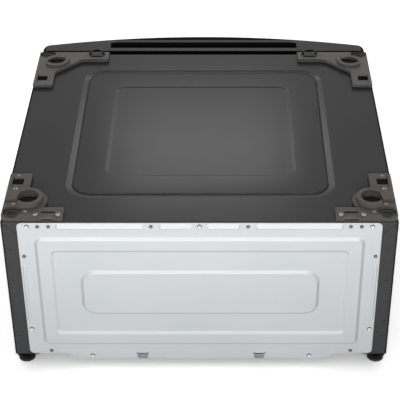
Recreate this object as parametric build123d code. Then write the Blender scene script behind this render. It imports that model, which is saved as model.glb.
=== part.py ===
from build123d import *
import os
from dataclasses import dataclass
from math import atan2, degrees, sqrt

# A laundry pedestal: a folded steel cabinet with one deep drawer, which lifts a washer or a dryer.
# Millimetres, +Z up from the floor, drawer front towards -Y, right-hand side at +X,
# origin on the floor under the middle of the whole.

# Cabinet shell, one folded sheet that makes the top and both sides
WIDTH = 737.0  # over the side walls
BODY_DEPTH = 659.0  # rear panel's border to the cabinet's front face
BODY_HEIGHT = 321.0  # base of the side walls to the top face
FLOOR_GAP = 29.0  # floor to the base of the side walls
SHEET = 1.0  # shell sheet
BEND = 3.0  # outer radius of the shell's folds
FRONT_ROUND = 12.0  # radius of the top's front edge
REAR_FLANGE = 48.5  # side wall's return at the rear
TOP_FLANGE = 22.0  # top's fold-down at the rear
FRONT_FLANGE = 18.0  # side wall's return at the front
FRONT_DROP = 34.0  # top's fold-down at the front
MITRE_GAP = 0.8  # slit between the mitred rear flanges
MITRE_RELIEF = 2.5  # radius of the hole at the head of each mitre
MITRE_RELIEF_IN = 6.2  # corner to that hole
CLINCH_WIDTH = 7.0  # lanced slots that grip the posts
CLINCH_HEIGHT = 2.0
CLINCH_IN = 13.5  # side wall to the line of slots
CLINCH_DROPS = (64.5, 136.0, 274.5)  # below the top face
STRAP_HOLE = 2.0  # radius of the two tie holes in the left rear flange
STRAP_HOLE_IN = 10.5
STRAP_HOLE_DROPS = (235.4, 244.6)

# Pressing in the top: a gutter with a groove round a raised island, and a shallow pan in the island
GUTTER_SIDE = 108.5  # side wall to the gutter's outer edge
GUTTER_END = 80.0  # front or rear face to the gutter's outer edge
GUTTER_WIDTH = 16.0
GUTTER_DEPTH = 1.5
GUTTER_FALL = 0.2  # fall of the gutter's floor towards the groove
GUTTER_RADIUS = 50.0
GUTTER_SLOPE = 8.0  # width of the soft outer bank
GROOVE_DEPTH = 3.4  # below the top face
GROOVE_BANK = 1.2
GROOVE_FLOOR = 0.8
ISLAND_SLOPE = 1.8  # width of the steep inner bank
PAN_INSET = 57.0  # island's edge to the pan's edge
PAN_DEPTH = 1.2
PAN_SLOPE = 7.0
PAN_RADIUS = 25.0

# Rear panel
REAR_SHEET = 0.8
PANEL_MARGIN = 30.0  # side wall to the panel's edge
PANEL_TOP_GAP = 2.0  # top face to the panel's upper edge
PANEL_LIFT = 1.5  # base of the side walls to the panel's lower edge
PANEL_CORNER = 9.0
SKIRT_DROP = 14.0  # skirt's reach below the panel's lower edge
SKIRT_MARGIN = 71.5  # panel's edge to the start of the skirt
SKIRT_SLANT = 27.0
PRESS_HEIGHT = 4.0
PRESS_BANK = 6.0  # width of a pressing's slope
FRAME_SIDE = 29.5  # panel's edge to the raised frame
FRAME_TOP = 34.7  # top face to the raised frame
FRAME_BOTTOM = 23.5
FRAME_RADIUS = 14.0
FIELD_INSET = 28.0  # raised frame's outer edge to its inner edge
FIELD_RADIUS = 12.0
BOSS_INSET_X = 53.0  # field's edge to the raised middle
BOSS_INSET_Z = 49.5
BOSS_RADIUS = 28.0
STRIP_HEIGHT = 2.2  # wedge-shaped strips under the panel's top edge
STRIP_TOP = 3.5
STRIP_BOTTOM = 16.5
STRIP_CREST = 1.6
STRIP_RETURN = 2.0  # width of the steep lower side
STRIP_END = 3.0
STRIP_INNER = (14.0, 75.0)  # reach of the inner strips from the middle
STRIP_OUTER_START = 105.0
STRIP_OUTER_MARGIN = 72.0  # outer strip's end to the panel's edge
BEAD_WIDTH = 8.0  # upright bead beside each edge
BEAD_IN = 6.5
BEAD_REACH = (100.0, 236.0)
NOTCH_FROM_MIDDLE = 115.7
NOTCH_WIDTH = 21.0
NOTCH_RELIEF = 2.2
HOOK_WIDTH = 16.0
HOOK_CLEARANCE = 1.5

# Screws
SCREW_RADIUS = 2.0
SCREW_FIT = 0.05  # radial room of a screw in its hole
HEAD_FLATS = 8.0  # hexagon heads
SMALL_HEAD_FLATS = 6.4  # dark heads of the rear panel
HEAD_HEIGHT = 2.2
SCREW_GRIP = 5.0  # shank beyond the sheets it holds
TOP_SCREW_DROP = 10.3  # below the top face
TOP_BRIGHT_MARGIN = 18.5  # from the panel's edge
TOP_DARK_MARGINS = (38.5, 58.5)
TOP_DARK_MIDDLE = 90.0  # from the middle
SIDE_SCREW_IN = 8.3
SIDE_DARK_DROP = 79.0
SIDE_BRIGHT_DROP = 257.0
LOW_DARK_MARGIN = 42.5
LOW_DARK_LIFT = 6.5  # above the panel's lower edge
SKIRT_BRIGHT_IN = 25.0  # from the skirt's end
SKIRT_BRIGHT_LIFT = 8.0  # above the skirt's edge

# Corner brackets, moulded; u runs in from the side wall, v in from the front or rear edge
BRACKET_PLATE = 8.5
BRACKET_WALL = 2.2
BRACKET_SET = 1.0  # cabinet's edges to the bracket's edges
BRACKET_CORNER = 11.0
BRACKET_EDGE = 1.8  # thickness at the sloped edge
BRACKET_SLOPE = 12.0
BRACKET_BEVEL = 0.8
SIDE_BAND = 44.0  # width of the side arms
SOCKET_RADIUS = 20.5
SOCKET_WALL = 8.0
SOCKET_FLANGE = 7.5
PLATEAU_START = 3.0  # socket's axis to the plateau's face
PLATEAU_SET = 2.5  # bracket's side to the plateau's side
CORNER_HOLE_RADIUS = 10.0
CORNER_HOLE_U = 20.0
CORNER_HOLE_V = 22.8
RECESS_RADIUS = 17.0
RECESS_FLOOR = 1.0
POCKET_SIZE = 21.0
POCKET_U = 19.5
LATCH_SLIT = 1.5  # slit along the pocket's outer edge
LATCH_REACH = 8.0  # slit's reach beyond the pocket
SLOT_LENGTH = 26.0
SLOT_WIDTH = 6.0
ARM_SCREW_REACH = 21.0  # slot's middle to the screws beside it
ARM_SCREW_SHIFT = 2.0  # towards the side wall
SIDE_SCREW_SHIFT = 2.0
COUNTERBORE_RADIUS = 5.0
COUNTERBORE_DEPTH = 1.2
DOME_RADIUS = 3.5
DOME_HEIGHT = 1.2
DOME_GAP = 8.0  # corner recess to the domes beside it
DOME_REACH = 20.5  # pocket's middle to the dome beside it

# Posts, rails and foot plates
POST_SHEET = 1.2
POST_REACH = 29.5  # side wall to the post's inner face
POST_DEPTH = 40.0
RAIL_SHEET = 1.6
TOP_RAIL_DROP = 14.0  # top face to the front top rail
TOP_RAIL_HEIGHT = 30.0
RAIL_LIP = 24.0
BASE_RAIL_HEIGHT = 26.0
REAR_RAIL_HEIGHT = 34.0
REAR_RAIL_LAP = 18.0
PLATE_SHEET = 2.0
PLATE_REACH = 47.5  # side wall to the foot plate's inner edge
PLATE_LENGTH = 64.0
PLATE_SET = 0.6

# Levelling feet
FOOT_IN = 18.5  # side wall to the foot's axis
FOOT_SETBACK = 24.0  # front or rear face to the foot's axis
STUD_RADIUS = 4.95
STUD_TOP = 78.0
STUD_FOOT = 10.0
STUD_FIT = 0.05
WELD_NUT_FLATS = 15.0
WELD_NUT_HEIGHT = 8.0
NUT_ROOM = 0.84  # weld nut's corner to the shell's base return
LOCK_NUT_FLATS = 17.0
LOCK_NUT_HEIGHT = 5.5
SOLE_RADIUS = 16.5
SOLE_HEIGHT = 6.0
SOLE_FLOOR = 2.0
SEAT_RADIUS = 14.0
SEAT_CLEARANCE = 0.3
BASE_FLATS = 35.0
BASE_LOW_FLATS = 28.0
BASE_TOP = 18.5
BASE_TAPER = 6.5  # height of the tapered part
NECK_RADIUS = 9.5
NECK_TOP = 20.5

# Drawer front
FRONT_GAP = 11.0  # cabinet's front face to the drawer front
FRONT_END_DEPTH = 36.0  # thickness at the ends
FRONT_BOW = 44.0  # how much further the middle stands out
FRONT_CORNER = 18.0
FRONT_TOP_ROUND = 16.0
FRONT_FOOT_ROUND = 8.0
FRONT_DROP_TOP = 1.0  # top face to the drawer front's top
FRONT_LIFT = 7.0  # base of the side walls to the drawer front's lower edge
SKIN = 1.2
HEM = 20.0
LINER = 1.2
LINER_CLEARANCE = 0.5
POCKET_BACK = 14.3  # drawer front's rear face to the finger pocket
POCKET_MOUTH = 24.0
POCKET_FLOOR = 18.0
POCKET_HALF_TOP = 213.0
POCKET_HALF_FLOOR = 196.0
POCKET_DEPTH = 34.0
POCKET_WALL = 2.0
POCKET_FLANGE = 3.0
BUMPER_RADIUS = 5.0
BUMPER_CLEARANCE = 0.2
BUMPER_END = 40.0  # drawer front's top or lower edge to a bumper

# Drawer box
BOX_SHEET = 1.0
BOX_LIFT = 34.0  # base of the side walls to the box
BOX_TOP_GAP = 52.0  # top face to the box's upper edge
BOX_REAR_GAP = 62.0  # rear panel's border to the box
BOX_HEM = 8.0
BOX_HEM_DROP = 6.0
BOX_LEDGE = 14.0
BOX_FLANGE = 20.0
BOX_ROOM = 0.4
RIB_COUNT = 5
RIB_WIDTH = 14.0
RIB_HEIGHT = 2.5
RIB_BANK = 3.0
RIB_END = 45.0
BOX_SCREW_COUNT = 3

# Telescopic ball slides
SLIDE_WIDTH = 12.7
SLIDE_HALF_HEIGHT = 22.85
SLIDE_SHEET = 1.2
SLIDE_LIP = 3.0
SLIDE_LIFT = 120.0  # base of the side walls to the slide's middle
SLIDE_FRONT_GAP = 20.0
SLIDE_REAR_GAP = 26.0
OUTER_REACH = 10.7
MIDDLE_START = 2.6
MIDDLE_REACH = 11.9
INNER_START = 4.9
BALL_RADIUS = 2.0
BALL_FIT = 0.05
CAGE_SHEET = 0.7
CAGE_LENGTH = 260.0
CAGE_HOLE_ROOM = 0.2
CAGE_MARGIN = 0.6  # sheet left beside each ball hole
CAGE_WEB_ROOM = 0.3
INNER_CAGE_ROOM = 0.2
BALLS_PER_ARM = 3
SLIDE_SCREW_IN = 8.5
SLIDE_SCREW_SPREAD = 8.0
INNER_SCREW_COUNT = 3

# Planes that several pieces share
HALF = WIDTH / 2
Z_BASE = FLOOR_GAP
Z_TOP = Z_BASE + BODY_HEIGHT
FRONT_REACH = BODY_DEPTH + FRONT_GAP + FRONT_END_DEPTH + FRONT_BOW
Y_BORDER = (FRONT_REACH - PRESS_HEIGHT) / 2
Y_BACK = Y_BORDER - REAR_SHEET
Y_FRONT = Y_BORDER - BODY_DEPTH
Y_MIDDLE = (Y_BORDER + Y_FRONT) / 2
PANEL_HALF = HALF - PANEL_MARGIN
PANEL_DROP = BODY_HEIGHT - PANEL_LIFT
SKIRT_HALF = PANEL_HALF - SKIRT_MARGIN - SKIRT_SLANT
WINDOW_HALF = HALF - REAR_FLANGE
BASE_FLANGE = FOOT_IN - WELD_NUT_FLATS / sqrt(3) - NUT_ROOM  # side wall's return at the base
X_POST = HALF - POST_REACH
X_BOX = X_POST - SLIDE_WIDTH
Y_LEAF = Y_FRONT - FRONT_GAP  # drawer front's rear face
Y_LINER = Y_LEAF - SKIN
Y_BOX_REAR = Y_BORDER - BOX_REAR_GAP
Z_LEAF_TOP = Z_TOP - FRONT_DROP_TOP
Z_LEAF_LOW = Z_BASE + FRONT_LIFT
Z_BOX = Z_BASE + BOX_LIFT
Z_BOX_TOP = Z_TOP - BOX_TOP_GAP
Z_SLIDE = Z_BASE + SLIDE_LIFT
Y_SLIDE_FRONT = Y_FRONT + SLIDE_FRONT_GAP
Y_SLIDE_REAR = Y_BORDER - SLIDE_REAR_GAP
BOTH = (-1, 1)
BANK_STEPS = 4  # flats that make up a soft bank


@dataclass
class Bracket:
    """Sizes of one corner bracket, front or rear."""

    edge: float  # Y of the cabinet edge that it follows
    inward: int  # sign of Y towards the middle of the top
    side_arm: float  # reach along the side wall
    cross_arm: float  # reach along the front or rear edge
    cross_band: float  # width of that arm
    socket_u: float
    socket_v: float
    rim: float  # height of the socket above the top face
    mouth: tuple  # direction in which the rim is cut away
    mouth_start: float  # socket's axis to that cut
    plateau: float  # height of the raised ground beside the socket, 0 where there is none
    slot_u: float
    slot_v: float
    arm_screw_offset: float  # slot's middle to the line of the screws beside it
    tab_width: float
    tab_top: float  # height of the tab above the top face
    tab_depth: float
    tab_offset: float  # slot's middle to the tab's middle
    tunnel_half: float  # half width of the opening under the tab
    tunnel_low: float
    tunnel_high: float
    pocket_v: float
    pocket_screw: float  # pocket's middle to the screw beside it, 0 where a dome stands there
    corner_domes: tuple  # directions from the corner hole to the domes
    gusset: float  # diagonal inner corner, 0 where the socket's flange fills it

    def at(self, u, v):
        """World X and Y of a point on the right-hand bracket."""
        return HALF - u, self.edge + self.inward * v

    def block(self, u0, u1, v0, v1, z0, z1):
        """Box given in the bracket's own directions, with heights above the top face."""
        x0, y0 = self.at(u0, v0)
        x1, y1 = self.at(u1, v1)
        return span(x0, x1, y0, y1, Z_TOP + z0, Z_TOP + z1)

    def screws(self):
        """Places of the screws: two beside the slot and, at the rear, one beside the pocket."""
        middle = self.slot_u - ARM_SCREW_SHIFT
        arm_v = self.slot_v - self.arm_screw_offset
        places = [(middle + side * ARM_SCREW_REACH, arm_v) for side in BOTH]
        if self.pocket_screw:
            places.append((POCKET_U - SIDE_SCREW_SHIFT, self.pocket_v - self.pocket_screw))
        return [self.at(u, v) for u, v in places]

    def domes(self):
        """Places of the moulded domes beside the pocket and the corner hole."""
        side_u = POCKET_U - SIDE_SCREW_SHIFT
        places = [(side_u, self.pocket_v + DOME_REACH)]
        if not self.pocket_screw:
            places.append((side_u, self.pocket_v - DOME_REACH))
        reach = RECESS_RADIUS + DOME_GAP
        places += [(CORNER_HOLE_U + du * reach, CORNER_HOLE_V + dv * reach) for du, dv in self.corner_domes]
        return [self.at(u, v) for u, v in places]


REAR = Bracket(
    edge=Y_BORDER,
    inward=-1,
    side_arm=151.0,
    cross_arm=116.5,
    cross_band=37.4,
    socket_u=46.0,
    socket_v=60.0,
    rim=18.0,
    mouth=(-1, 0),
    mouth_start=17.0,
    plateau=14.0,
    slot_u=87.5,
    slot_v=20.6,
    arm_screw_offset=6.2,
    tab_width=45.0,
    tab_top=10.5,
    tab_depth=7.8,
    tab_offset=13.7,
    tunnel_half=13.0,
    tunnel_low=2.4,
    tunnel_high=5.0,
    pocket_v=122.5,
    pocket_screw=25.5,
    corner_domes=((1, 0), (0, 1)),
    gusset=0.0,
)
FRONT = Bracket(
    edge=Y_FRONT,
    inward=1,
    side_arm=162.0,
    cross_arm=157.0,
    cross_band=48.0,
    socket_u=42.5,
    socket_v=55.5,
    rim=14.0,
    mouth=(-0.6, -0.8),
    mouth_start=0.0,
    plateau=0.0,
    slot_u=129.8,
    slot_v=33.0,
    arm_screw_offset=3.0,
    tab_width=39.0,
    tab_top=21.5,
    tab_depth=3.0,
    tab_offset=10.1,
    tunnel_half=12.0,
    tunnel_low=8.0,
    tunnel_high=15.0,
    pocket_v=132.0,
    pocket_screw=0.0,
    corner_domes=((1, 0),),
    gusset=54.0,
)


def span(x0, x1, y0, y1, z0, z1):
    """Box between two corners."""
    middle = Pos((x0 + x1) / 2, (y0 + y1) / 2, (z0 + z1) / 2)
    return middle * Box(abs(x1 - x0), abs(y1 - y0), abs(z1 - z0))


def mirrored(shape):
    """The same piece on the other side of the pedestal."""
    return mirror(shape, about=Plane.YZ)


def frustum(*sizes):
    """Ruled solid through rounded rectangles, each (width, length, radius, level)."""
    sections = []
    for width, length, radius, level in sizes:
        sections.append(Pos(0, 0, level) * RectangleRounded(width, length, radius))
    return loft(sections, ruled=True)


def soft_bank(width, length, radius, start, end, bank):
    """Rounded rectangles of a bank that runs inwards from one level to another in an S."""
    sizes = []
    for i in range(BANK_STEPS + 1):
        run = i / BANK_STEPS
        inset = bank * run
        level = start + (end - start) * run**2 * (3 - 2 * run)
        sizes.append((width - 2 * inset, length - 2 * inset, radius - inset, level))
    return sizes


def pressed(form, thickness):
    """Sheet of a thickness whose upper face is the upper face of a form."""
    return form - Pos(0, 0, -thickness) * form


def along_x(points, x0, x1):
    """Solid with an outline of (y, z) points, from x0 to x1."""
    outline = make_face(Polyline(*[(x0, y, z) for y, z in points], close=True))
    return extrude(outline, amount=x1 - x0, dir=(1, 0, 0))


def along_y(points, y0, y1):
    """Solid with an outline of (x, z) points, from y0 to y1."""
    outline = make_face(Polyline(*[(x, y0, z) for x, z in points], close=True))
    return extrude(outline, amount=y1 - y0, dir=(0, 1, 0))


def holes_z(places, radius, z0, z1):
    """Upright cutters at (x, y) places."""
    return [Pos(x, y, (z0 + z1) / 2) * Cylinder(radius, z1 - z0) for x, y in places]


def holes_y(places, radius, y0, y1):
    """Cutters along Y at (x, z) places."""
    return [Pos(x, (y0 + y1) / 2, z) * Rot(90, 0, 0) * Cylinder(radius, y1 - y0) for x, z in places]


def holes_x(places, radius, x0, x1):
    """Cutters along X at (y, z) places."""
    return [Pos((x0 + x1) / 2, y, z) * Rot(0, 90, 0) * Cylinder(radius, abs(x1 - x0)) for y, z in places]


def screw(length, flats=HEAD_FLATS):
    """Hexagon-head screw along +Z, seated at Z 0."""
    head = extrude(RegularPolygon(flats / 2, 6, major_radius=False), amount=HEAD_HEIGHT)
    shank = Cylinder(SCREW_RADIUS, length, align=(Align.CENTER, Align.CENTER, Align.MAX))
    return head + shank


def group(solids):
    """Separate solids that share one node."""
    return Compound(children=[solid.solid() for solid in solids])


# Places that several pieces share


def rear_screws():
    """Bright and dark screws of the rear panel, as (x, z)."""
    z_row = Z_TOP - TOP_SCREW_DROP
    x_side = PANEL_HALF - SIDE_SCREW_IN
    z_low = Z_TOP - PANEL_DROP
    bright = [(0, z_row)]
    dark = []
    for side in BOTH:
        bright.append((side * (PANEL_HALF - TOP_BRIGHT_MARGIN), z_row))
        bright.append((side * x_side, Z_TOP - SIDE_BRIGHT_DROP))
        bright.append((side * (SKIRT_HALF - SKIRT_BRIGHT_IN), z_low - SKIRT_DROP + SKIRT_BRIGHT_LIFT))
        dark.extend((side * (PANEL_HALF - margin), z_row) for margin in TOP_DARK_MARGINS)
        dark.append((side * TOP_DARK_MIDDLE, z_row))
        dark.append((side * x_side, Z_TOP - SIDE_DARK_DROP))
        dark.append((side * (PANEL_HALF - LOW_DARK_MARGIN), z_low + LOW_DARK_LIFT))
    return bright, dark


def bracket_screw_places():
    """Places of all the bracket screws."""
    right = REAR.screws() + FRONT.screws()
    return right + [(-x, y) for x, y in right]


def foot_places():
    """Axis of each foot, by corner name."""
    places = {}
    for side, hand in zip(BOTH, ("left", "right")):
        places["rear_" + hand] = (side * (HALF - FOOT_IN), Y_BORDER - FOOT_SETBACK)
        places["front_" + hand] = (side * (HALF - FOOT_IN), Y_FRONT + FOOT_SETBACK)
    return places


# Cabinet


def folded_case(inset):
    """Closed case round the cabinet, its faces stepped in by an inset."""
    case = span(
        -HALF + inset, HALF - inset, Y_FRONT + inset, Y_BACK - inset, Z_BASE + inset, Z_TOP - inset
    )
    front_edge = case.edges().filter_by(Axis.X).group_by(Axis.Z)[-1].sort_by(Axis.Y)[0]
    case = fillet(front_edge, FRONT_ROUND - inset)
    folds = case.edges().filter_by(Axis.Y).group_by(Axis.Z)[-1]
    for edge in case.edges().group_by(Axis.Y)[-1]:
        if edge.center().Z > Z_BASE + BODY_HEIGHT / 4:
            folds.append(edge)
    return fillet(folds, BEND - inset)


def top_pressing():
    """The hollows pressed into the top: the gutter with its groove, and the pan."""
    width = WIDTH - 2 * GUTTER_SIDE
    length = BODY_DEPTH - 2 * GUTTER_END

    def ring(inset, level):
        """Rounded rectangle inside the gutter's outer edge."""
        return width - 2 * inset, length - 2 * inset, GUTTER_RADIUS - inset, level

    foot = GUTTER_WIDTH - ISLAND_SLOPE
    groove = foot - GROOVE_FLOOR
    lip = ring(groove - GROOVE_BANK, -GUTTER_DEPTH - GUTTER_FALL)
    bank = soft_bank(width, length, GUTTER_RADIUS, 0, -GUTTER_DEPTH, GUTTER_SLOPE)
    bowl = frustum(*bank, lip, ring(groove, -GROOVE_DEPTH))
    shoulder = ring(GUTTER_WIDTH - ISLAND_SLOPE / 2, -GROOVE_DEPTH / 4)
    island = frustum(ring(foot, -GROOVE_DEPTH), shoulder, ring(GUTTER_WIDTH, 0))
    edge = GUTTER_WIDTH + PAN_INSET
    pan = frustum(*soft_bank(width - 2 * edge, length - 2 * edge, PAN_RADIUS, 0, -PAN_DEPTH, PAN_SLOPE))
    return Pos(0, Y_MIDDLE, Z_TOP) * (bowl - island + pan)


def cabinet_shell():
    """Top and side walls from one sheet, with mitred rear flanges."""
    hollow = top_pressing()
    shell = (folded_case(0) - hollow) - (folded_case(SHEET) - Pos(0, 0, -SHEET) * hollow)
    low = Z_BASE - SHEET
    tip = HALF - TOP_FLANGE
    rear = [(WINDOW_HALF, low), (WINDOW_HALF, Z_TOP - REAR_FLANGE), (tip, Z_TOP - TOP_FLANGE)]
    rear += [(-x, z) for x, z in reversed(rear)]
    shell -= along_y(rear, Y_BACK - 2 * BEND, Y_BACK + SHEET)
    opening = HALF - FRONT_FLANGE
    shell -= span(-opening, opening, Y_FRONT - SHEET, Y_FRONT + 2 * SHEET, low, Z_TOP - FRONT_DROP)
    inner = HALF - BASE_FLANGE
    base_high = Z_BASE + 2 * SHEET
    shell -= span(-inner, inner, Y_FRONT - SHEET, Y_BACK + SHEET, low, base_high)
    for side in BOTH:
        start, end = MITRE_RELIEF_IN, TOP_FLANGE + SHEET
        slit = Rot(0, -45 * side, 0) * Box((end - start) * sqrt(2), 4 * SHEET, MITRE_GAP)
        shell -= Pos(side * (HALF - (start + end) / 2), Y_BACK, Z_TOP - (start + end) / 2) * slit
        relief = [(side * (HALF - MITRE_RELIEF_IN), Z_TOP - MITRE_RELIEF_IN)]
        shell -= holes_y(relief, MITRE_RELIEF, Y_BACK - 2 * SHEET, Y_BACK + SHEET)
        for drop in CLINCH_DROPS:
            place = Pos(side * (HALF - CLINCH_IN), Y_BACK, Z_TOP - drop)
            shell -= place * Box(CLINCH_WIDTH, 3 * SHEET, CLINCH_HEIGHT)
    straps = [(STRAP_HOLE_IN - HALF, Z_TOP - drop) for drop in STRAP_HOLE_DROPS]
    shell -= holes_y(straps, STRAP_HOLE, Y_BACK - 2 * SHEET, Y_BACK + SHEET)
    bright, dark = rear_screws()
    shell -= holes_y(bright + dark, SCREW_RADIUS + SCREW_FIT, Y_BACK - 2 * SHEET, Y_BACK + SHEET)
    top_low, top_high = Z_TOP - 2 * SHEET, Z_TOP + SHEET
    return shell - holes_z(bracket_screw_places(), SCREW_RADIUS + SCREW_FIT, top_low, top_high)


def rear_panel():
    """Pressed panel, drawn flat with its border's outer face at 0, then stood up."""
    slant = SKIRT_HALF + SKIRT_SLANT
    skirt_low = -PANEL_DROP - SKIRT_DROP
    right = [(PANEL_HALF, -PANEL_TOP_GAP), (PANEL_HALF, -PANEL_DROP)]
    right += [(slant, -PANEL_DROP), (SKIRT_HALF, skirt_low)]
    outline = right + [(-x, y) for x, y in reversed(right)]
    corners = [PANEL_CORNER, PANEL_CORNER, PANEL_CORNER / 2, PANEL_CORNER / 2]
    face = make_face(FilletPolyline(*outline, radius=corners + corners[::-1], close=True))
    form = extrude(face, amount=-2 * PRESS_HEIGHT)

    def pressing(half_x, top, bottom, radius, start, end, bank):
        """Form with soft banks between two levels, given by its reach at the first."""
        sizes = soft_bank(2 * half_x, bottom - top, radius, start, end, bank)
        return Pos(0, -(top + bottom) / 2, 0) * frustum(*sizes)

    frame_half = PANEL_HALF - FRAME_SIDE
    frame_low = PANEL_DROP - FRAME_BOTTOM
    form += pressing(frame_half, FRAME_TOP, frame_low, FRAME_RADIUS, 0, PRESS_HEIGHT, PRESS_BANK)
    field_half = frame_half - FIELD_INSET
    field_top, field_low = FRAME_TOP + FIELD_INSET, frame_low - FIELD_INSET
    form -= pressing(field_half, field_top, field_low, FIELD_RADIUS, PRESS_HEIGHT, 0, PRESS_BANK)
    boss_top, boss_low = field_top + BOSS_INSET_Z, field_low - BOSS_INSET_Z
    boss_half = field_half - BOSS_INSET_X
    form += pressing(boss_half, boss_top, boss_low, BOSS_RADIUS, 0, PRESS_HEIGHT, PRESS_BANK)
    height = STRIP_BOTTOM - STRIP_TOP
    crest = STRIP_BOTTOM - STRIP_RETURN - STRIP_CREST / 2
    for start, end in (STRIP_INNER, (STRIP_OUTER_START, PANEL_HALF - STRIP_OUTER_MARGIN)):
        foot = Pos(0, -STRIP_TOP - height / 2, 0) * RectangleRounded(end - start, height, height / 2 - 1)
        ridge = RectangleRounded(end - start - 2 * STRIP_END, STRIP_CREST, STRIP_CREST / 2 - 0.1)
        strip = loft([foot, Pos(0, -crest, STRIP_HEIGHT) * ridge], ruled=True)
        form += [Pos(side * (start + end) / 2, 0, 0) * strip for side in BOTH]
    bead_bank = BEAD_WIDTH / 4
    bead = pressing(BEAD_WIDTH / 2, *BEAD_REACH, BEAD_WIDTH / 2 - 0.5, 0, bead_bank, bead_bank)
    form += [Pos(side * (PANEL_HALF - BEAD_IN), 0, 0) * bead for side in BOTH]
    panel = pressed(form, REAR_SHEET)
    notch_top = -PANEL_DROP
    for side in BOTH:
        notch = span(-NOTCH_WIDTH / 2, NOTCH_WIDTH / 2, skirt_low - 1, notch_top, -PRESS_HEIGHT, PRESS_HEIGHT)
        for end in BOTH:
            notch += Pos(end * NOTCH_WIDTH / 2, notch_top, 0) * Cylinder(NOTCH_RELIEF, 2 * PRESS_HEIGHT)
        panel -= Pos(side * NOTCH_FROM_MIDDLE, 0, 0) * notch
    stand = Plane(origin=(0, Y_BORDER, Z_TOP), x_dir=(-1, 0, 0), z_dir=(0, 1, 0))
    panel = stand.location * panel
    bright, dark = rear_screws()
    return panel - holes_y(bright + dark, SCREW_RADIUS + SCREW_FIT, Y_BACK - SHEET, Y_BORDER + SHEET)


def post(face, inward, rounding):
    """Right-hand channel post against a front or rear flange's inner face, open towards the middle."""
    wall = HALF - SHEET
    low, high = Z_BASE, Z_TOP - SHEET - BEND
    far = face + inward * POST_DEPTH
    clear = face + inward * rounding
    body = span(X_POST, wall, face, far, low, high)
    near_edges = body.edges().filter_by(Axis.Z).sort_by(lambda edge: abs(edge.center().Y - face))
    outer_edge = sorted(near_edges[:2], key=lambda edge: edge.center().X)[-1]
    body = fillet(outer_edge, BEND)
    channel = span(
        X_POST + POST_SHEET, wall - POST_SHEET, face + inward * POST_SHEET, far + inward, low - 1, high + 1
    )
    notch = span(X_POST - 1, wall + 1, face - inward, clear, Z_TOP - rounding, Z_TOP)
    notch += span(HALF - BASE_FLANGE - BOX_ROOM, wall + 1, face - inward, far + inward, low - 1, low + SHEET)
    cap = span(X_POST, wall - BEND, clear, far, high - POST_SHEET, Z_TOP - SHEET)
    return body - channel - notch + cap


def posts():
    """Right-hand rear and front posts, drilled for the slides."""
    reach = SCREW_RADIUS + SCREW_FIT
    rear = post(Y_BACK - SHEET, -1, BEND)
    front = post(Y_FRONT + SHEET, 1, FRONT_ROUND)
    rear -= holes_x(slide_screw_places(), reach, X_POST - 1, X_POST + 2 * POST_SHEET)
    front -= holes_x(slide_screw_places(), reach, X_POST - 1, X_POST + 2 * POST_SHEET)
    return {"rear": rear, "front": front}


def front_top_rail():
    """Angle behind the shell's front fold, from post to post."""
    web = Y_FRONT + SHEET
    high = Z_TOP - TOP_RAIL_DROP
    low = high - TOP_RAIL_HEIGHT
    lip = low + RAIL_SHEET
    outline = [(web, low), (web + RAIL_LIP, low), (web + RAIL_LIP, lip), (web + RAIL_SHEET, lip)]
    outline += [(web + RAIL_SHEET, high), (web, high)]
    return along_x(outline, -X_POST, X_POST)


def front_bottom_rail():
    """Channel across the front at the base, from post to post."""
    web = Y_FRONT + SHEET
    low, high = Z_BASE, Z_BASE + BASE_RAIL_HEIGHT
    end = web + RAIL_LIP
    outline = [(web, low), (end, low), (end, low + RAIL_SHEET), (web + RAIL_SHEET, low + RAIL_SHEET)]
    outline += [(web + RAIL_SHEET, high - RAIL_SHEET), (end, high - RAIL_SHEET), (end, high), (web, high)]
    return along_x(outline, -X_POST, X_POST)


def rear_bottom_rail():
    """Angle across the rear at the base, with laps behind the side flanges and two hooks."""
    face = Y_BACK
    low, high = Z_BASE + PLATE_SHEET, Z_BASE + REAR_RAIL_HEIGHT
    inner = face - RAIL_SHEET
    end = face - RAIL_LIP
    half = WINDOW_HALF - BOX_ROOM
    outline = [(face, low), (face, high), (end, high), (end, high - RAIL_SHEET), (inner, high - RAIL_SHEET)]
    outline += [(inner, low)]
    rail = along_x(outline, -half, half)
    skirt_low = Z_TOP - PANEL_DROP - SKIRT_DROP + BOX_ROOM
    skirt_half = SKIRT_HALF - BOX_ROOM
    rail += span(-skirt_half, skirt_half, inner, face, skirt_low, low)
    hook_top = Z_TOP - PANEL_DROP - HOOK_CLEARANCE
    for side in BOTH:
        lap_face = Y_BACK - SHEET
        rail += span(side * (half - RAIL_SHEET), side * X_POST, lap_face - RAIL_SHEET, lap_face, low, high)
        hook_x = side * NOTCH_FROM_MIDDLE
        hook_face = face + REAR_SHEET + RAIL_SHEET
        rail += span(hook_x - HOOK_WIDTH / 2, hook_x + HOOK_WIDTH / 2, face, hook_face, skirt_low, hook_top)
    bright, dark = rear_screws()
    reach = SCREW_RADIUS + SCREW_FIT
    return rail - holes_y(bright + dark, reach, face - SHEET - 2 * RAIL_SHEET, face + SHEET)


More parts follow.
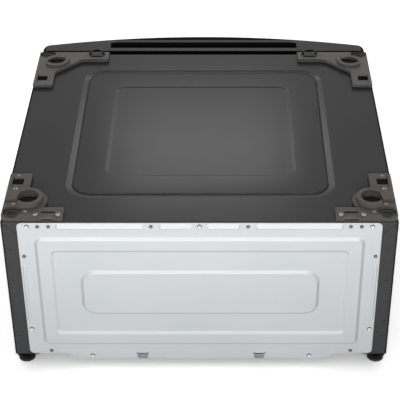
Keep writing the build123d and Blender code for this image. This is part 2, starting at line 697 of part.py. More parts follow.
def bracket_plate(bracket, inset):
    """Right-hand L-shaped plate that thins towards the cabinet's edge, its sides stepped in by an inset."""
    outer = BRACKET_SET + inset
    band = SIDE_BAND - inset
    cross = bracket.cross_band - inset
    corners = [(outer, outer), (outer, bracket.side_arm - inset), (band, bracket.side_arm - inset)]
    radii = [BRACKET_CORNER - inset, BEND - inset, BEND - inset]
    if bracket.gusset:
        elbow = bracket.gusset + inset * (2 - sqrt(2))
        corners += [(band, cross + elbow), (band + elbow, cross)]
        radii += [BRACKET_CORNER + inset, 2 * BRACKET_CORNER + inset]
    else:
        corners += [(band, cross)]
        radii += [0]
    corners += [(bracket.cross_arm - inset, cross), (bracket.cross_arm - inset, outer)]
    radii += [BEND - inset, BEND - inset]
    outline = make_face(FilletPolyline(*[bracket.at(u, v) for u, v in corners], radius=radii, close=True))
    if not bracket.gusset:
        flange = SOCKET_RADIUS + SOCKET_WALL + SOCKET_FLANGE - inset
        outline += Pos(*bracket.at(bracket.socket_u, bracket.socket_v)) * Circle(flange)
    plate = Pos(0, 0, Z_TOP) * extrude(outline, amount=BRACKET_PLATE, dir=(0, 0, 1))
    if not inset:
        plate = chamfer(plate.faces().sort_by(Axis.Z)[-1].edges(), BRACKET_BEVEL)
    rise = (BRACKET_PLATE - BRACKET_EDGE) / BRACKET_SLOPE
    near, far = BRACKET_SET - BRACKET_SLOPE, BRACKET_SET + 2 * BRACKET_SLOPE
    low, high = BRACKET_EDGE - rise * BRACKET_SLOPE, BRACKET_EDGE + 2 * rise * BRACKET_SLOPE
    wedge = [(bracket.at(0, v)[1], Z_TOP + level) for v, level in ((near, low), (far, high), (near, high))]
    return plate - along_x(wedge, bracket.at(2 * bracket.cross_arm, 0)[0], HALF)


def bracket_socket(bracket):
    """Rim round the socket, cut away on one side, and the raised ground beside it."""
    x, y = bracket.at(bracket.socket_u, bracket.socket_v)
    radius = SOCKET_RADIUS + SOCKET_WALL
    rim = Pos(x, y, Z_TOP + bracket.rim / 2) * Cylinder(radius, bracket.rim)
    du, dv = bracket.mouth
    turn = Rot(0, 0, degrees(atan2(bracket.inward * dv, -du)))
    cut = Pos(bracket.mouth_start + radius, 0, 0) * Box(2 * radius, 3 * radius, bracket.rim)
    rim -= Pos(x, y, Z_TOP + BRACKET_PLATE + bracket.rim / 2) * turn * cut
    rim = chamfer(rim.faces().sort_by(Axis.Z)[-1].edges(), BRACKET_BEVEL)
    if not bracket.plateau:
        return rim
    side = BRACKET_SET + PLATEAU_SET
    start, end = bracket.socket_v - PLATEAU_START, bracket.socket_v + radius
    ground = bracket.block(side, bracket.socket_u, start, end, 0, bracket.plateau)
    ground = chamfer(ground.faces().sort_by(Axis.Z)[-1].edges(), BRACKET_BEVEL)
    return rim + ground


def bracket_tab(bracket):
    """Arched strap guide beside the slot, with an opening under it."""
    x, y = bracket.at(bracket.slot_u, bracket.slot_v - bracket.tab_offset)
    half = bracket.tab_width / 2
    spring, top = Z_TOP + BRACKET_EDGE, Z_TOP + bracket.tab_top
    arch = ThreePointArc((x - half, y, spring), (x, y, top), (x + half, y, spring))
    foot = Polyline(arch @ 1, (x + half, y, Z_TOP), (x - half, y, Z_TOP), arch @ 0)
    return extrude(make_face([arch, foot]), amount=bracket.tab_depth / 2, dir=(0, 1, 0), both=True)


def bracket_body(bracket):
    """Right-hand moulded bracket: a hollow plate with a foot socket, recess, tab, slot and pocket."""
    x, y = bracket.at(bracket.socket_u, bracket.socket_v)
    hole = [bracket.at(CORNER_HOLE_U, CORNER_HOLE_V)]
    low, plate_top = Z_TOP - 2 * BRACKET_WALL, Z_TOP + BRACKET_PLATE
    void = Pos(0, 0, -BRACKET_WALL) * bracket_plate(bracket, BRACKET_WALL)
    void -= holes_z([(x, y)], SOCKET_RADIUS + BRACKET_WALL, low, plate_top)
    void -= holes_z(hole, RECESS_RADIUS + BRACKET_WALL, low, plate_top)
    void -= holes_z(bracket.screws(), COUNTERBORE_RADIUS + BRACKET_WALL, low, plate_top)
    body = bracket_plate(bracket, 0) - void
    body -= holes_z(hole, RECESS_RADIUS, Z_TOP + RECESS_FLOOR, Z_TOP + 2 * BRACKET_PLATE)
    body += bracket_socket(bracket) + bracket_tab(bracket)
    cap = (DOME_RADIUS**2 + DOME_HEIGHT**2) / (2 * DOME_HEIGHT)
    dome = Pos(0, 0, DOME_HEIGHT - cap) * Sphere(cap)
    dome &= Pos(0, 0, DOME_HEIGHT / 2) * Cylinder(cap, 2 * DOME_HEIGHT)
    body += [Pos(*place, plate_top) * dome for place in bracket.domes()]
    if bracket.edge == Y_FRONT:
        start, end = BRACKET_CORNER, bracket.cross_arm - BEND
        skirt = bracket.block(start, end, BRACKET_SET, FRONT_ROUND, -FRONT_ROUND / 2, BRACKET_EDGE / 2)
        body += skirt - folded_case(0)
    high = 2 * bracket.rim
    body -= holes_z([(x, y)], SOCKET_RADIUS, Z_TOP - 1, Z_TOP + high)
    body -= holes_z(hole, CORNER_HOLE_RADIUS, Z_TOP - 1, plate_top)
    half = POCKET_SIZE / 2
    pocket_u, pocket_v = POCKET_U - half, bracket.pocket_v
    body -= bracket.block(pocket_u, POCKET_U + half, pocket_v - half, pocket_v + half, -1, high)
    reach = half + LATCH_REACH
    slit = pocket_u - LATCH_SLIT / 2
    body -= bracket.block(slit, slit + LATCH_SLIT, pocket_v - reach, pocket_v + reach, -1, high)
    half, side = SLOT_LENGTH / 2, SLOT_WIDTH / 2
    slot_u, slot_v = bracket.slot_u, bracket.slot_v
    body -= bracket.block(slot_u - half, slot_u + half, slot_v - side, slot_v + side, -1, high)
    tab_v = slot_v - bracket.tab_offset
    body -= bracket.block(
        slot_u - bracket.tunnel_half,
        slot_u + bracket.tunnel_half,
        tab_v - bracket.tab_depth,
        tab_v + bracket.tab_depth,
        bracket.tunnel_low,
        bracket.tunnel_high,
    )
    seat = plate_top - COUNTERBORE_DEPTH
    body -= holes_z(bracket.screws(), COUNTERBORE_RADIUS, seat, Z_TOP + high)
    return body - holes_z(bracket.screws(), SCREW_RADIUS + SCREW_FIT, Z_TOP - 1, seat + 1)


def bracket_screws():
    """Screws in the bracket's counterbores, into the top sheet."""
    seat = Z_TOP + BRACKET_PLATE - COUNTERBORE_DEPTH
    length = seat - Z_TOP + SHEET + SCREW_GRIP
    return group([Pos(x, y, seat) * screw(length) for x, y in bracket_screw_places()])


def rear_panel_screws(places, flats):
    """Screws along Y through the rear panel, with their heads outside."""
    length = REAR_SHEET + SHEET + RAIL_SHEET + SCREW_GRIP
    return group([Pos(x, Y_BORDER, z) * Rot(-90, 0, 0) * screw(length, flats) for x, z in places])


# Feet


def foot_plate(x, rear):
    """Plate under one bottom corner, holed for the stud."""
    side = 1 if x > 0 else -1
    outer = side * (HALF - PLATE_SET)
    inner = side * (HALF - PLATE_REACH)
    start = Y_BACK - PLATE_SET if rear else Y_FRONT + PLATE_SET
    end = start - PLATE_LENGTH if rear else start + PLATE_LENGTH
    return span(inner, outer, start, end, Z_BASE - PLATE_SHEET, Z_BASE)


def hex_nut(flats, height, bore):
    """Hexagon nut standing on Z 0."""
    prism = extrude(RegularPolygon(flats / 2, 6, major_radius=False), amount=height)
    return prism - Pos(0, 0, height / 2) * Cylinder(bore, 2 * height)


def foot_sole():
    """Rubber cup under a foot."""
    cup = Cylinder(SOLE_RADIUS, SOLE_HEIGHT, align=(Align.CENTER, Align.CENTER, Align.MIN))
    return cup - Pos(0, 0, SOLE_FLOOR) * Cylinder(
        SEAT_RADIUS + SEAT_CLEARANCE, SOLE_HEIGHT, align=(Align.CENTER, Align.CENTER, Align.MIN)
    )


def foot_base():
    """Moulded hexagonal foot that tapers down into its sole and grips the stud."""
    flange = SOLE_HEIGHT + SEAT_CLEARANCE
    shoulder = flange + BASE_TAPER
    wide = RegularPolygon(BASE_FLATS / 2, 6, major_radius=False, rotation=30)
    narrow = RegularPolygon(BASE_LOW_FLATS / 2, 6, major_radius=False, rotation=30)
    taper = loft([Pos(0, 0, flange) * narrow, Pos(0, 0, shoulder) * wide], ruled=True)
    hexagon = Pos(0, 0, shoulder) * extrude(wide, amount=BASE_TOP - shoulder)
    seat = Pos(0, 0, SOLE_FLOOR) * Cylinder(
        SEAT_RADIUS, flange - SOLE_FLOOR, align=(Align.CENTER, Align.CENTER, Align.MIN)
    )
    neck = Pos(0, 0, BASE_TOP) * Cylinder(
        NECK_RADIUS, NECK_TOP - BASE_TOP, align=(Align.CENTER, Align.CENTER, Align.MIN)
    )
    body = hexagon + taper + seat + neck
    return body - Pos(0, 0, STUD_FOOT) * Cylinder(
        STUD_RADIUS + STUD_FIT, STUD_TOP, align=(Align.CENTER, Align.CENTER, Align.MIN)
    )


def foot_stud():
    """Plain-turned stud of a foot."""
    stud = Cylinder(STUD_RADIUS, STUD_TOP - STUD_FOOT, align=(Align.CENTER, Align.CENTER, Align.MIN))
    stud = chamfer(stud.edges().group_by(Axis.Z)[-1], SHEET)
    return Pos(0, 0, STUD_FOOT) * stud


# Drawer front


def leaf(inset):
    """Bowed drawer front as a closed form, its faces stepped in by an inset."""
    half = HALF - inset
    rear = Y_LEAF - inset
    radius = (HALF**2 + FRONT_BOW**2) / (2 * FRONT_BOW)
    apex = Y_LEAF - FRONT_END_DEPTH - FRONT_BOW + inset
    centre = apex + radius - inset
    end = centre - sqrt((radius - inset) ** 2 - half**2)
    sides = Polyline((-half, end), (-half, rear), (half, rear), (half, end))
    bow = ThreePointArc((half, end), (0, apex), (-half, end))
    plan = make_face([sides, bow])
    plan = fillet(plan.vertices().group_by(Axis.Y)[0], FRONT_CORNER - inset)
    low, high = Z_LEAF_LOW + inset, Z_LEAF_TOP - inset
    body = Pos(0, 0, low) * extrude(plan, amount=high - low, dir=(0, 0, 1))
    body = fillet(body.faces().sort_by(Axis.Z)[-1].edges().sort_by(Axis.Y)[0], FRONT_TOP_ROUND - inset)
    return fillet(body.faces().sort_by(Axis.Z)[0].edges().sort_by(Axis.Y)[0], FRONT_FOOT_ROUND - inset)


def pocket_form(grow, depth):
    """Tapered trough of the finger pocket, widened by the thickness of its wall."""
    top = Z_LEAF_TOP - SKIN
    mouth_y = Y_LEAF - POCKET_BACK - POCKET_MOUTH / 2
    room = 2 * grow
    mouth = Rectangle(2 * POCKET_HALF_TOP + room, POCKET_MOUTH + room)
    floor = Rectangle(2 * POCKET_HALF_FLOOR + room, POCKET_FLOOR + room)
    return loft([Pos(0, mouth_y, top - depth) * floor, Pos(0, mouth_y, top) * mouth], ruled=True)


def drawer_front_skin():
    """Hollow bowed front, open behind its hem and over the finger pocket."""
    skin = leaf(0) - leaf(SKIN)
    edge = HALF - HEM
    skin -= span(-edge, edge, Y_LEAF - 2 * SKIN, Y_LEAF + SKIN, Z_LEAF_LOW + HEM, Z_LEAF_TOP - HEM)
    mouth_back = Y_LEAF - POCKET_BACK
    low, high = Z_LEAF_TOP - 2 * SKIN, Z_LEAF_TOP + SKIN
    return skin - span(-POCKET_HALF_TOP, POCKET_HALF_TOP, mouth_back - POCKET_MOUTH, mouth_back, low, high)


def handle_pocket():
    """Moulded finger pocket that hangs under the skin's top."""
    trough = pocket_form(POCKET_WALL, POCKET_DEPTH + POCKET_WALL)
    rim = POCKET_WALL + POCKET_FLANGE
    top = Z_LEAF_TOP - SKIN
    back = Y_LEAF - POCKET_BACK
    half = POCKET_HALF_TOP + rim
    trough += span(-half, half, back - POCKET_MOUTH - POCKET_FLANGE, back + rim, top - POCKET_WALL, top)
    return trough - pocket_form(0, POCKET_DEPTH)


def drawer_front_liner():
    """Flat sheet that closes the drawer front behind, inside the hem."""
    half = HALF - SKIN - LINER_CLEARANCE
    low = Z_LEAF_LOW + SKIN + LINER_CLEARANCE
    high = Z_LEAF_TOP - SKIN - LINER_CLEARANCE
    sheet = span(-half, half, Y_LINER - LINER, Y_LINER, low, high)
    corners = sheet.edges().filter_by(Axis.Y).group_by(Axis.Z)
    sheet = fillet(corners[-1], FRONT_TOP_ROUND)
    corners = sheet.edges().filter_by(Axis.Y).group_by(Axis.Z)
    sheet = fillet(corners[0], FRONT_FOOT_ROUND)
    return sheet - holes_y(box_screw_places(), SCREW_RADIUS + SCREW_FIT, Y_LINER - 2 * LINER, Y_LINER + SHEET)


def drawer_bumpers():
    """Rubber buttons on the hem, which meet the cabinet's front flanges."""
    length = FRONT_GAP - BUMPER_CLEARANCE
    button = Cylinder(BUMPER_RADIUS, length, align=(Align.CENTER, Align.CENTER, Align.MIN))
    x = HALF - FRONT_FLANGE / 2
    heights = (Z_LEAF_LOW + BUMPER_END, Z_LEAF_TOP - BUMPER_END)
    return group([Pos(side * x, Y_LEAF, z) * Rot(-90, 0, 0) * button for side in BOTH for z in heights])


# Drawer box


def box_screw_places():
    """Screws that hold the box to its front, as (x, z)."""
    x = X_BOX - BOX_SHEET - BOX_FLANGE / 2
    height = Z_BOX_TOP - Z_BOX
    heights = [Z_BOX + height * (i + 1) / (BOX_SCREW_COUNT + 1) for i in range(BOX_SCREW_COUNT)]
    return [(side * x, z) for side in BOTH for z in heights]


def drawer_wall():
    """Right-hand wall of the box: hemmed above, ledged below, flanged at the front."""
    height = Z_BOX_TOP - Z_BOX
    t = BOX_SHEET
    outline = [(0, 0), (BOX_LEDGE, 0), (BOX_LEDGE, t), (t, t), (t, height - t), (BOX_HEM - t, height - t)]
    hem_low = height - BOX_HEM_DROP
    outline += [(BOX_HEM - t, hem_low), (BOX_HEM, hem_low), (BOX_HEM, height), (0, height)]
    wall = along_y([(X_BOX - u, Z_BOX + w) for u, w in outline], Y_LINER, Y_BOX_REAR)
    inner = X_BOX - t
    flange_low = Z_BOX + 2 * t + RIB_HEIGHT + BOX_ROOM
    flange_high = Z_BOX_TOP - BOX_HEM_DROP - BOX_ROOM
    wall += span(inner - BOX_FLANGE, inner, Y_LINER, Y_LINER + t, flange_low, flange_high)
    reach = SCREW_RADIUS + SCREW_FIT
    wall -= holes_y(box_screw_places(), reach, Y_LINER - t, Y_LINER + 2 * t)
    return wall - holes_x(inner_screw_places(), reach, X_BOX - 2 * t, X_BOX + t)


def drawer_back():
    """Rear wall of the box, hemmed to the rear, across the ends of both side walls."""
    t = BOX_SHEET
    y = Y_BOX_REAR
    outline = [(y, Z_BOX), (y + t, Z_BOX), (y + t, Z_BOX_TOP - t), (y + BOX_HEM, Z_BOX_TOP - t)]
    outline += [(y + BOX_HEM, Z_BOX_TOP), (y, Z_BOX_TOP)]
    return along_x(outline, -X_BOX, X_BOX)


def drawer_bottom():
    """Ribbed floor of the box, on the ledges of its walls."""
    width = 2 * (X_BOX - BOX_SHEET - BOX_ROOM)
    length = Y_BOX_REAR - Y_LINER
    form = Pos(0, 0, -RIB_HEIGHT) * Box(width, length, 2 * RIB_HEIGHT)
    rib_length = length - 2 * RIB_END
    rib = frustum(
        (RIB_WIDTH, rib_length, RIB_WIDTH / 2 - 0.5, 0),
        (RIB_WIDTH - 2 * RIB_BANK, rib_length - 2 * RIB_BANK, RIB_WIDTH / 2 - 0.5 - RIB_BANK, RIB_HEIGHT),
    )
    pitch = width / (RIB_COUNT + 1)
    form += [Pos((i + 1) * pitch - width / 2, 0, 0) * rib for i in range(RIB_COUNT)]
    floor = pressed(form, BOX_SHEET)
    return Pos(0, (Y_BOX_REAR + Y_LINER) / 2, Z_BOX + 2 * BOX_SHEET) * floor


def drawer_front_screws():
    """Screws from inside the box through its flanges and the liner."""
    seat = Y_LINER + BOX_SHEET
    length = BOX_SHEET + LINER + SCREW_GRIP
    return group([Pos(x, seat, z) * Rot(-90, 0, 0) * screw(length) for x, z in box_screw_places()])


# Slides


def channel(start, reach, half_height, lip):
    """Right-hand slide rail: web at start, flanges to reach, both measured in from the post's face."""
    t = SLIDE_SHEET
    inward = 1 if reach > start else -1
    web = start + inward * t
    h = half_height
    lower = [(start, -h), (reach, -h), (reach, lip - h), (reach - inward * t, lip - h)]
    lower += [(reach - inward * t, t - h), (web, t - h)]
    if lip <= t:
        lower = [(start, -h), (reach, -h), (reach, t - h), (web, t - h)]
    outline = lower + [(u, -v) for u, v in reversed(lower)]
    return along_y([(X_POST - u, Z_SLIDE + v) for u, v in outline], Y_SLIDE_FRONT, Y_SLIDE_REAR)


def half_heights():
    """Outer half height of the outer, middle and inner rails, each a ball apart."""
    step = SLIDE_SHEET + 2 * (BALL_RADIUS + BALL_FIT)
    return SLIDE_HALF_HEIGHT, SLIDE_HALF_HEIGHT - step, SLIDE_HALF_HEIGHT - 2 * step


def slide_screw_places():
    """Screws that hold the outer rails to the posts, as (y, z)."""
    ends = (Y_SLIDE_FRONT + SLIDE_SCREW_IN, Y_SLIDE_REAR - SLIDE_SCREW_IN)
    return [(y, Z_SLIDE + side * SLIDE_SCREW_SPREAD) for y in ends for side in BOTH]


def inner_screw_places():
    """Screws that hold the inner rails to the box, as (y, z)."""
    start, end = Y_SLIDE_FRONT, Y_BOX_REAR
    step = (end - start) / INNER_SCREW_COUNT
    return [(start + step * (i + 0.5), Z_SLIDE) for i in range(INNER_SCREW_COUNT)]


def slide_rails():
    """Right-hand outer, middle and inner rails."""
    outer_half, middle_half, inner_half = half_heights()
    reach = SCREW_RADIUS + SCREW_FIT
    outer = channel(0, OUTER_REACH, outer_half, SLIDE_LIP)
    outer -= holes_x(slide_screw_places(), reach, X_POST - 2 * SLIDE_SHEET, X_POST + 1)
    middle = channel(MIDDLE_START, MIDDLE_REACH, middle_half, SLIDE_LIP)
    inner = channel(SLIDE_WIDTH, INNER_START, inner_half, 0)
    inner -= holes_x(inner_screw_places(), reach, X_BOX - 1, X_BOX + 2 * SLIDE_SHEET)
    return {"outer": outer, "middle": middle, "inner": inner}


def ball_cage(web, flange_half):
    """Right-hand cage and its balls, running under a flange of a given outer half height."""
    t = CAGE_SHEET
    level = flange_half - SLIDE_SHEET - BALL_RADIUS - BALL_FIT
    middle = (Y_SLIDE_FRONT + Y_SLIDE_REAR) / 2
    hole = BALL_RADIUS + CAGE_HOLE_ROOM
    ball_u = web + t + CAGE_MARGIN + hole
    reach = ball_u + hole + CAGE_MARGIN
    lower = [(web, -level - t / 2), (reach, -level - t / 2), (reach, t / 2 - level), (web + t, t / 2 - level)]
    outline = lower + [(u, -v) for u, v in reversed(lower)]
    start, end = middle - CAGE_LENGTH / 2, middle + CAGE_LENGTH / 2
    cage = along_y([(X_POST - u, Z_SLIDE + v) for u, v in outline], start, end)
    step = CAGE_LENGTH / BALLS_PER_ARM
    places = [(X_POST - ball_u, start + step * (i + 0.5)) for i in range(BALLS_PER_ARM)]
    cage -= holes_z(places, hole, Z_SLIDE - 2 * level, Z_SLIDE + 2 * level)
    balls = [Pos(x, y, Z_SLIDE + side * level) * Sphere(BALL_RADIUS) for x, y in places for side in BOTH]
    return cage, balls


def slide_screws():
    """Screws from inside the posts into the outer rails' webs."""
    seat = X_POST + POST_SHEET
    length = POST_SHEET + SLIDE_SHEET
    right = [Pos(seat, y, z) * Rot(0, 90, 0) * screw(length) for y, z in slide_screw_places()]
    return group(right + [mirrored(solid) for solid in right])


def inner_rail_screws():
    """Screws from inside the box into the inner rails' webs."""
    seat = X_BOX - BOX_SHEET
    length = BOX_SHEET + SLIDE_SHEET
    right = [Pos(seat, y, z) * Rot(0, -90, 0) * screw(length) for y, z in inner_screw_places()]
    return group(right + [mirrored(solid) for solid in right])


def pair(nodes, name, right):
    """Add a right-hand piece and its mirrored left-hand twin."""
    nodes["right_" + name] = right
    nodes["left_" + name] = mirrored(right)


def build():
    """Every node of the pedestal, by name."""
    bright, dark = rear_screws()
    nodes = {
        "cabinet_shell": cabinet_shell(),
        "rear_panel": rear_panel(),
        "front_top_rail": front_top_rail(),
        "front_bottom_rail": front_bottom_rail(),
        "rear_bottom_rail": rear_bottom_rail(),
        "bracket_screws": bracket_screws(),
        "rear_panel_bright_screws": rear_panel_screws(bright, HEAD_FLATS),
        "rear_panel_dark_screws": rear_panel_screws(dark, SMALL_HEAD_FLATS),
        "slide_screws": slide_screws(),
        "inner_rail_screws": inner_rail_screws(),
        "drawer_front_skin": drawer_front_skin(),
        "drawer_front_liner": drawer_front_liner(),
        "handle_pocket": handle_pocket(),
        "drawer_bumpers": drawer_bumpers(),
        "drawer_back": drawer_back(),
        "drawer_bottom": drawer_bottom(),
        "drawer_front_screws": drawer_front_screws(),
    }
    pair(nodes, "drawer_wall", drawer_wall())
    for end, solid in posts().items():
        nodes[end + "_right_post"] = solid
        nodes[end + "_left_post"] = mirrored(solid)
    for end, bracket in (("rear", REAR), ("front", FRONT)):
        body = bracket_body(bracket)
        nodes[end + "_right_bracket"] = body
        nodes[end + "_left_bracket"] = mirrored(body)
    for level, solid in slide_rails().items():
        pair(nodes, level + "_rail", solid)
    outer_half, middle_half, _ = half_heights()
    cages = {
        "outer": ball_cage(SLIDE_SHEET + CAGE_WEB_ROOM, outer_half),
        "inner": ball_cage(MIDDLE_START + SLIDE_SHEET + INNER_CAGE_ROOM, middle_half),
    }
    for level, (cage, balls) in cages.items():
        pair(nodes, level + "_ball_cage", cage)
        nodes["right_" + level + "_balls"] = group(balls)
        nodes["left_" + level + "_balls"] = group([mirrored(ball) for ball in balls])
    weld_nuts, lock_nuts = [], []
    bore = STUD_RADIUS + STUD_FIT
    for name, (x, y) in foot_places().items():
        hole = holes_z([(x, y)], STUD_RADIUS + 2 * STUD_FIT, Z_BASE - 2 * PLATE_SHEET, Z_BASE + PLATE_SHEET)
        nodes[name + "_foot_plate"] = foot_plate(x, name.startswith("rear")) - hole
        weld_nuts.append(Pos(x, y, Z_BASE) * hex_nut(WELD_NUT_FLATS, WELD_NUT_HEIGHT, bore))
        lock_low = Z_BASE - PLATE_SHEET - LOCK_NUT_HEIGHT
        lock_nuts.append(Pos(x, y, lock_low) * hex_nut(LOCK_NUT_FLATS, LOCK_NUT_HEIGHT, bore))
        nodes[name + "_foot_sole"] = Pos(x, y, 0) * foot_sole()
        nodes[name + "_foot_base"] = Pos(x, y, 0) * foot_base()
        nodes[name + "_foot_stud"] = Pos(x, y, 0) * foot_stud()
    nodes["foot_weld_nuts"] = group(weld_nuts)
    nodes["foot_lock_nuts"] = group(lock_nuts)
    return nodes


os.makedirs("parts", exist_ok=True)
for node, shape in build().items():
    export_step(shape, f"parts/{node}.step")
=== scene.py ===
"""Looks of a laundry pedestal: its finishes, fasteners, feet, floor, light and camera."""
import logging
import math
from dataclasses import dataclass, replace
from enum import Enum
from functools import lru_cache

import bmesh
import bpy
import numpy as np
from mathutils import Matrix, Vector


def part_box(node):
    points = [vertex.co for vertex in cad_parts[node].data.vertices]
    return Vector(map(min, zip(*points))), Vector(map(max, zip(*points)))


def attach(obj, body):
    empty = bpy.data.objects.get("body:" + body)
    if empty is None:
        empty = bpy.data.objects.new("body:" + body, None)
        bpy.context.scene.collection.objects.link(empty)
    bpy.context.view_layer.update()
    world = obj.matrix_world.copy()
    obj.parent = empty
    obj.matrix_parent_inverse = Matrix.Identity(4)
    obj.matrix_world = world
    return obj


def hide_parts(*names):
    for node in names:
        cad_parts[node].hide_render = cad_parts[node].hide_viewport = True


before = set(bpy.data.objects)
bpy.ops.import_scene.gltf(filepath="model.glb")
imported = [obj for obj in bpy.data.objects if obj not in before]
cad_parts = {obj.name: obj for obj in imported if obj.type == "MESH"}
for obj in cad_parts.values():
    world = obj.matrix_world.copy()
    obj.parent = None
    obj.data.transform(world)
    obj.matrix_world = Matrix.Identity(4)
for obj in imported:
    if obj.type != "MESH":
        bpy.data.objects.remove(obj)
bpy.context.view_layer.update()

MM = 0.001
HANDS = ("left", "right")
CORNERS = ("rear_left", "rear_right", "front_left", "front_right")
MERGE_DISTANCE = 2e-6
SHORTEST_EDGE = 1e-6
PLACE_DIGITS = 6  # decimals of a metre to which points count as one
FLAT_ANGLE = 0.5  # degrees within which faces count as one flat
BEVEL_ANGLE = 38.0  # degrees above which an edge is softened
BEVEL_SEGMENTS = 2
Colour = tuple[float, float, float]
Point = tuple[float, float, float]
Range = tuple[float, float]
Array = np.ndarray
log = logging.getLogger("pedestal")


class Facing(Enum):
    """Which way a screw's head looks."""

    UP = (0.0, 0.0, 1.0)
    REAR = (0.0, 1.0, 0.0)


class Head(Enum):
    """Form of a screw's head."""

    HEXAGON = "hexagon on a flange"
    ROUND = "round with a recess"


class Shading(Enum):
    """Crease angle, in degrees, above which an edge stays sharp."""

    NUT = 28.0
    CRISP = 30.0
    FOOT_BASE = 32.0
    MOULDED = 34.0
    SOLE = 35.0
    THREAD = 50.0


# Shader maths


class Wire:
    """A shader socket on which arithmetic adds Math nodes."""

    def __init__(self, tree: bpy.types.NodeTree, socket: bpy.types.NodeSocket) -> None:
        """Keep the tree and the socket."""
        self.tree = tree
        self.socket = socket

    def math(self, operation: str, *others: "Wire | float", swap: bool = False) -> "Wire":
        """One Math node.

        Args:
            operation: the Math node's operation.
            others: its further inputs, wires or numbers.
            swap: puts this wire second.

        Returns:
            The node's result.
        """
        node = self.tree.nodes.new("ShaderNodeMath")
        node.operation = operation
        values = [self, *others]
        if swap:
            values[0], values[1] = values[1], values[0]
        for socket, value in zip(node.inputs, values):
            if isinstance(value, Wire):
                self.tree.links.new(value.socket, socket)
            else:
                socket.default_value = value
        return Wire(self.tree, node.outputs[0])

    def __add__(self, other: "Wire | float") -> "Wire":
        """Sum."""
        return self.math("ADD", other)

    __radd__ = __add__

    def __sub__(self, other: "Wire | float") -> "Wire":
        """Difference."""
        return self.math("SUBTRACT", other)

    def __rsub__(self, other: float) -> "Wire":
        """Difference from a number."""
        return self.math("SUBTRACT", other, swap=True)

    def __mul__(self, other: "Wire | float") -> "Wire":
        """Product."""
        return self.math("MULTIPLY", other)

    __rmul__ = __mul__

    def about(self, mean: float, spread: float) -> "Wire":
        """A noise of 0 to 1, scaled to a spread about a mean."""
        return self * spread + (mean - 0.5 * spread)

    def most(self, other: "Wire") -> "Wire":
        """The larger of two."""
        return self.math("MAXIMUM", other)

    def over(self, low: float, high: float) -> "Wire":
        """Smooth rise from 0 to 1.

        Args:
            low: where the rise starts.
            high: where it ends.

        Returns:
            The share of the rise.
        """
        node = self.tree.nodes.new("ShaderNodeMapRange")
        node.interpolation_type = "SMOOTHSTEP"
        self.tree.links.new(self.socket, node.inputs["Value"])
        node.inputs["From Min"].default_value = low
        node.inputs["From Max"].default_value = high
        return Wire(self.tree, node.outputs["Result"])

    def within(self, low: float, high: float, fade: float) -> "Wire":
        """1 from low to high, faded out beyond them."""
        return self.over(low - fade, low) * (1.0 - self.over(high, high + fade))


class Recipe:
    """A material in the making."""

    def __init__(self, name: str) -> None:
        """Start an empty material.

        Args:
            name: the material's name.
        """
        self.material = bpy.data.materials.new(name)
        self.material.use_nodes = True
        self.tree = self.material.node_tree
        self.tree.nodes.clear()

    def node(
        self, kind: str, settings: dict | None = None, inputs: dict | None = None, out: int | str = 0
    ) -> Wire:
        """One node of any kind.

        Args:
            kind: the node's type, without its ShaderNode prefix.
            settings: attributes, set first.
            inputs: values or wires by socket name or number.
            out: the output to hand back.

        Returns:
            That output.
        """
        node = self.tree.nodes.new("ShaderNode" + kind)
        for key, value in (settings or {}).items():
            setattr(node, key, value)
        for key, value in (inputs or {}).items():
            if isinstance(value, Wire):
                self.tree.links.new(value.socket, node.inputs[key])
            elif isinstance(value, tuple) and len(value) == 3 and node.inputs[key].type == "RGBA":
                node.inputs[key].default_value = (*value, 1.0)
            else:
                node.inputs[key].default_value = value
        return Wire(self.tree, node.outputs[out])

    def place(self) -> Wire:
        """Object coordinates."""
        return self.node("TexCoord", out="Object")

    def along(self, axis: str) -> Wire:
        """One object coordinate, X, Y or Z."""
        return self.node("SeparateXYZ", inputs={0: self.place()}, out=axis)

    def across(self) -> Wire:
        """Distance from the plane between the two hands."""
        return self.along("X").math("ABSOLUTE")

    def noise(self, size: float, detail: float = 2.0, stretch: Point = (1.0, 1.0, 1.0)) -> Wire:
        """Noise of about that grain.

        Args:
            size: grain in metres.
            detail: octaves of finer noise.
            stretch: scale along each axis.

        Returns:
            The noise, about 0.3 to 0.7.
        """
        where = self.node("Mapping", {"vector_type": "POINT"}, {"Vector": self.place(), "Scale": stretch})
        return self.node("TexNoise", inputs={"Vector": where, "Scale": 1.0 / size, "Detail": detail})

    def blend(self, share: Wire, first: "Wire | Colour", second: "Wire | Colour") -> Wire:
        """Colour between two colours."""
        return self.node("Mix", {"data_type": "RGBA"}, {0: share, 6: first, 7: second}, out=2)

    def bump(self, height: Wire, strength: float, depth: float) -> Wire:
        """Normal bent by a height of 0 to 1, by how much of it shows and its size in metres."""
        return self.node("Bump", inputs={"Height": height, "Strength": strength, "Distance": depth})

    def mark(self, name: str) -> Wire:
        """A mesh's own mark of that name, 0 where it has none."""
        return self.node("Attribute", {"attribute_name": name}, out="Fac")

    def shader(self, **inputs: "Wire | float | Colour") -> Wire:
        """One Principled shader.

        Args:
            inputs: its values or wires, by socket names in lower case with underscores.

        Returns:
            The shader.
        """
        named = {}
        for key, value in inputs.items():
            named[key.replace("_", " ").title().replace("Ior", "IOR")] = value
        return self.node("BsdfPrincipled", inputs=named)

    def surface(self, **inputs: "Wire | float | Colour") -> bpy.types.Material:
        """Close the material with one Principled shader."""
        return self.close(self.shader(**inputs))

    def close(self, shader: Wire) -> bpy.types.Material:
        """Close the material.

        Args:
            shader: what its surface shows.

        Returns:
            The material.
        """
        end = self.tree.nodes.new("ShaderNodeOutputMaterial")
        self.tree.links.new(shader.socket, end.inputs["Surface"])
        return self.material


# Finishes


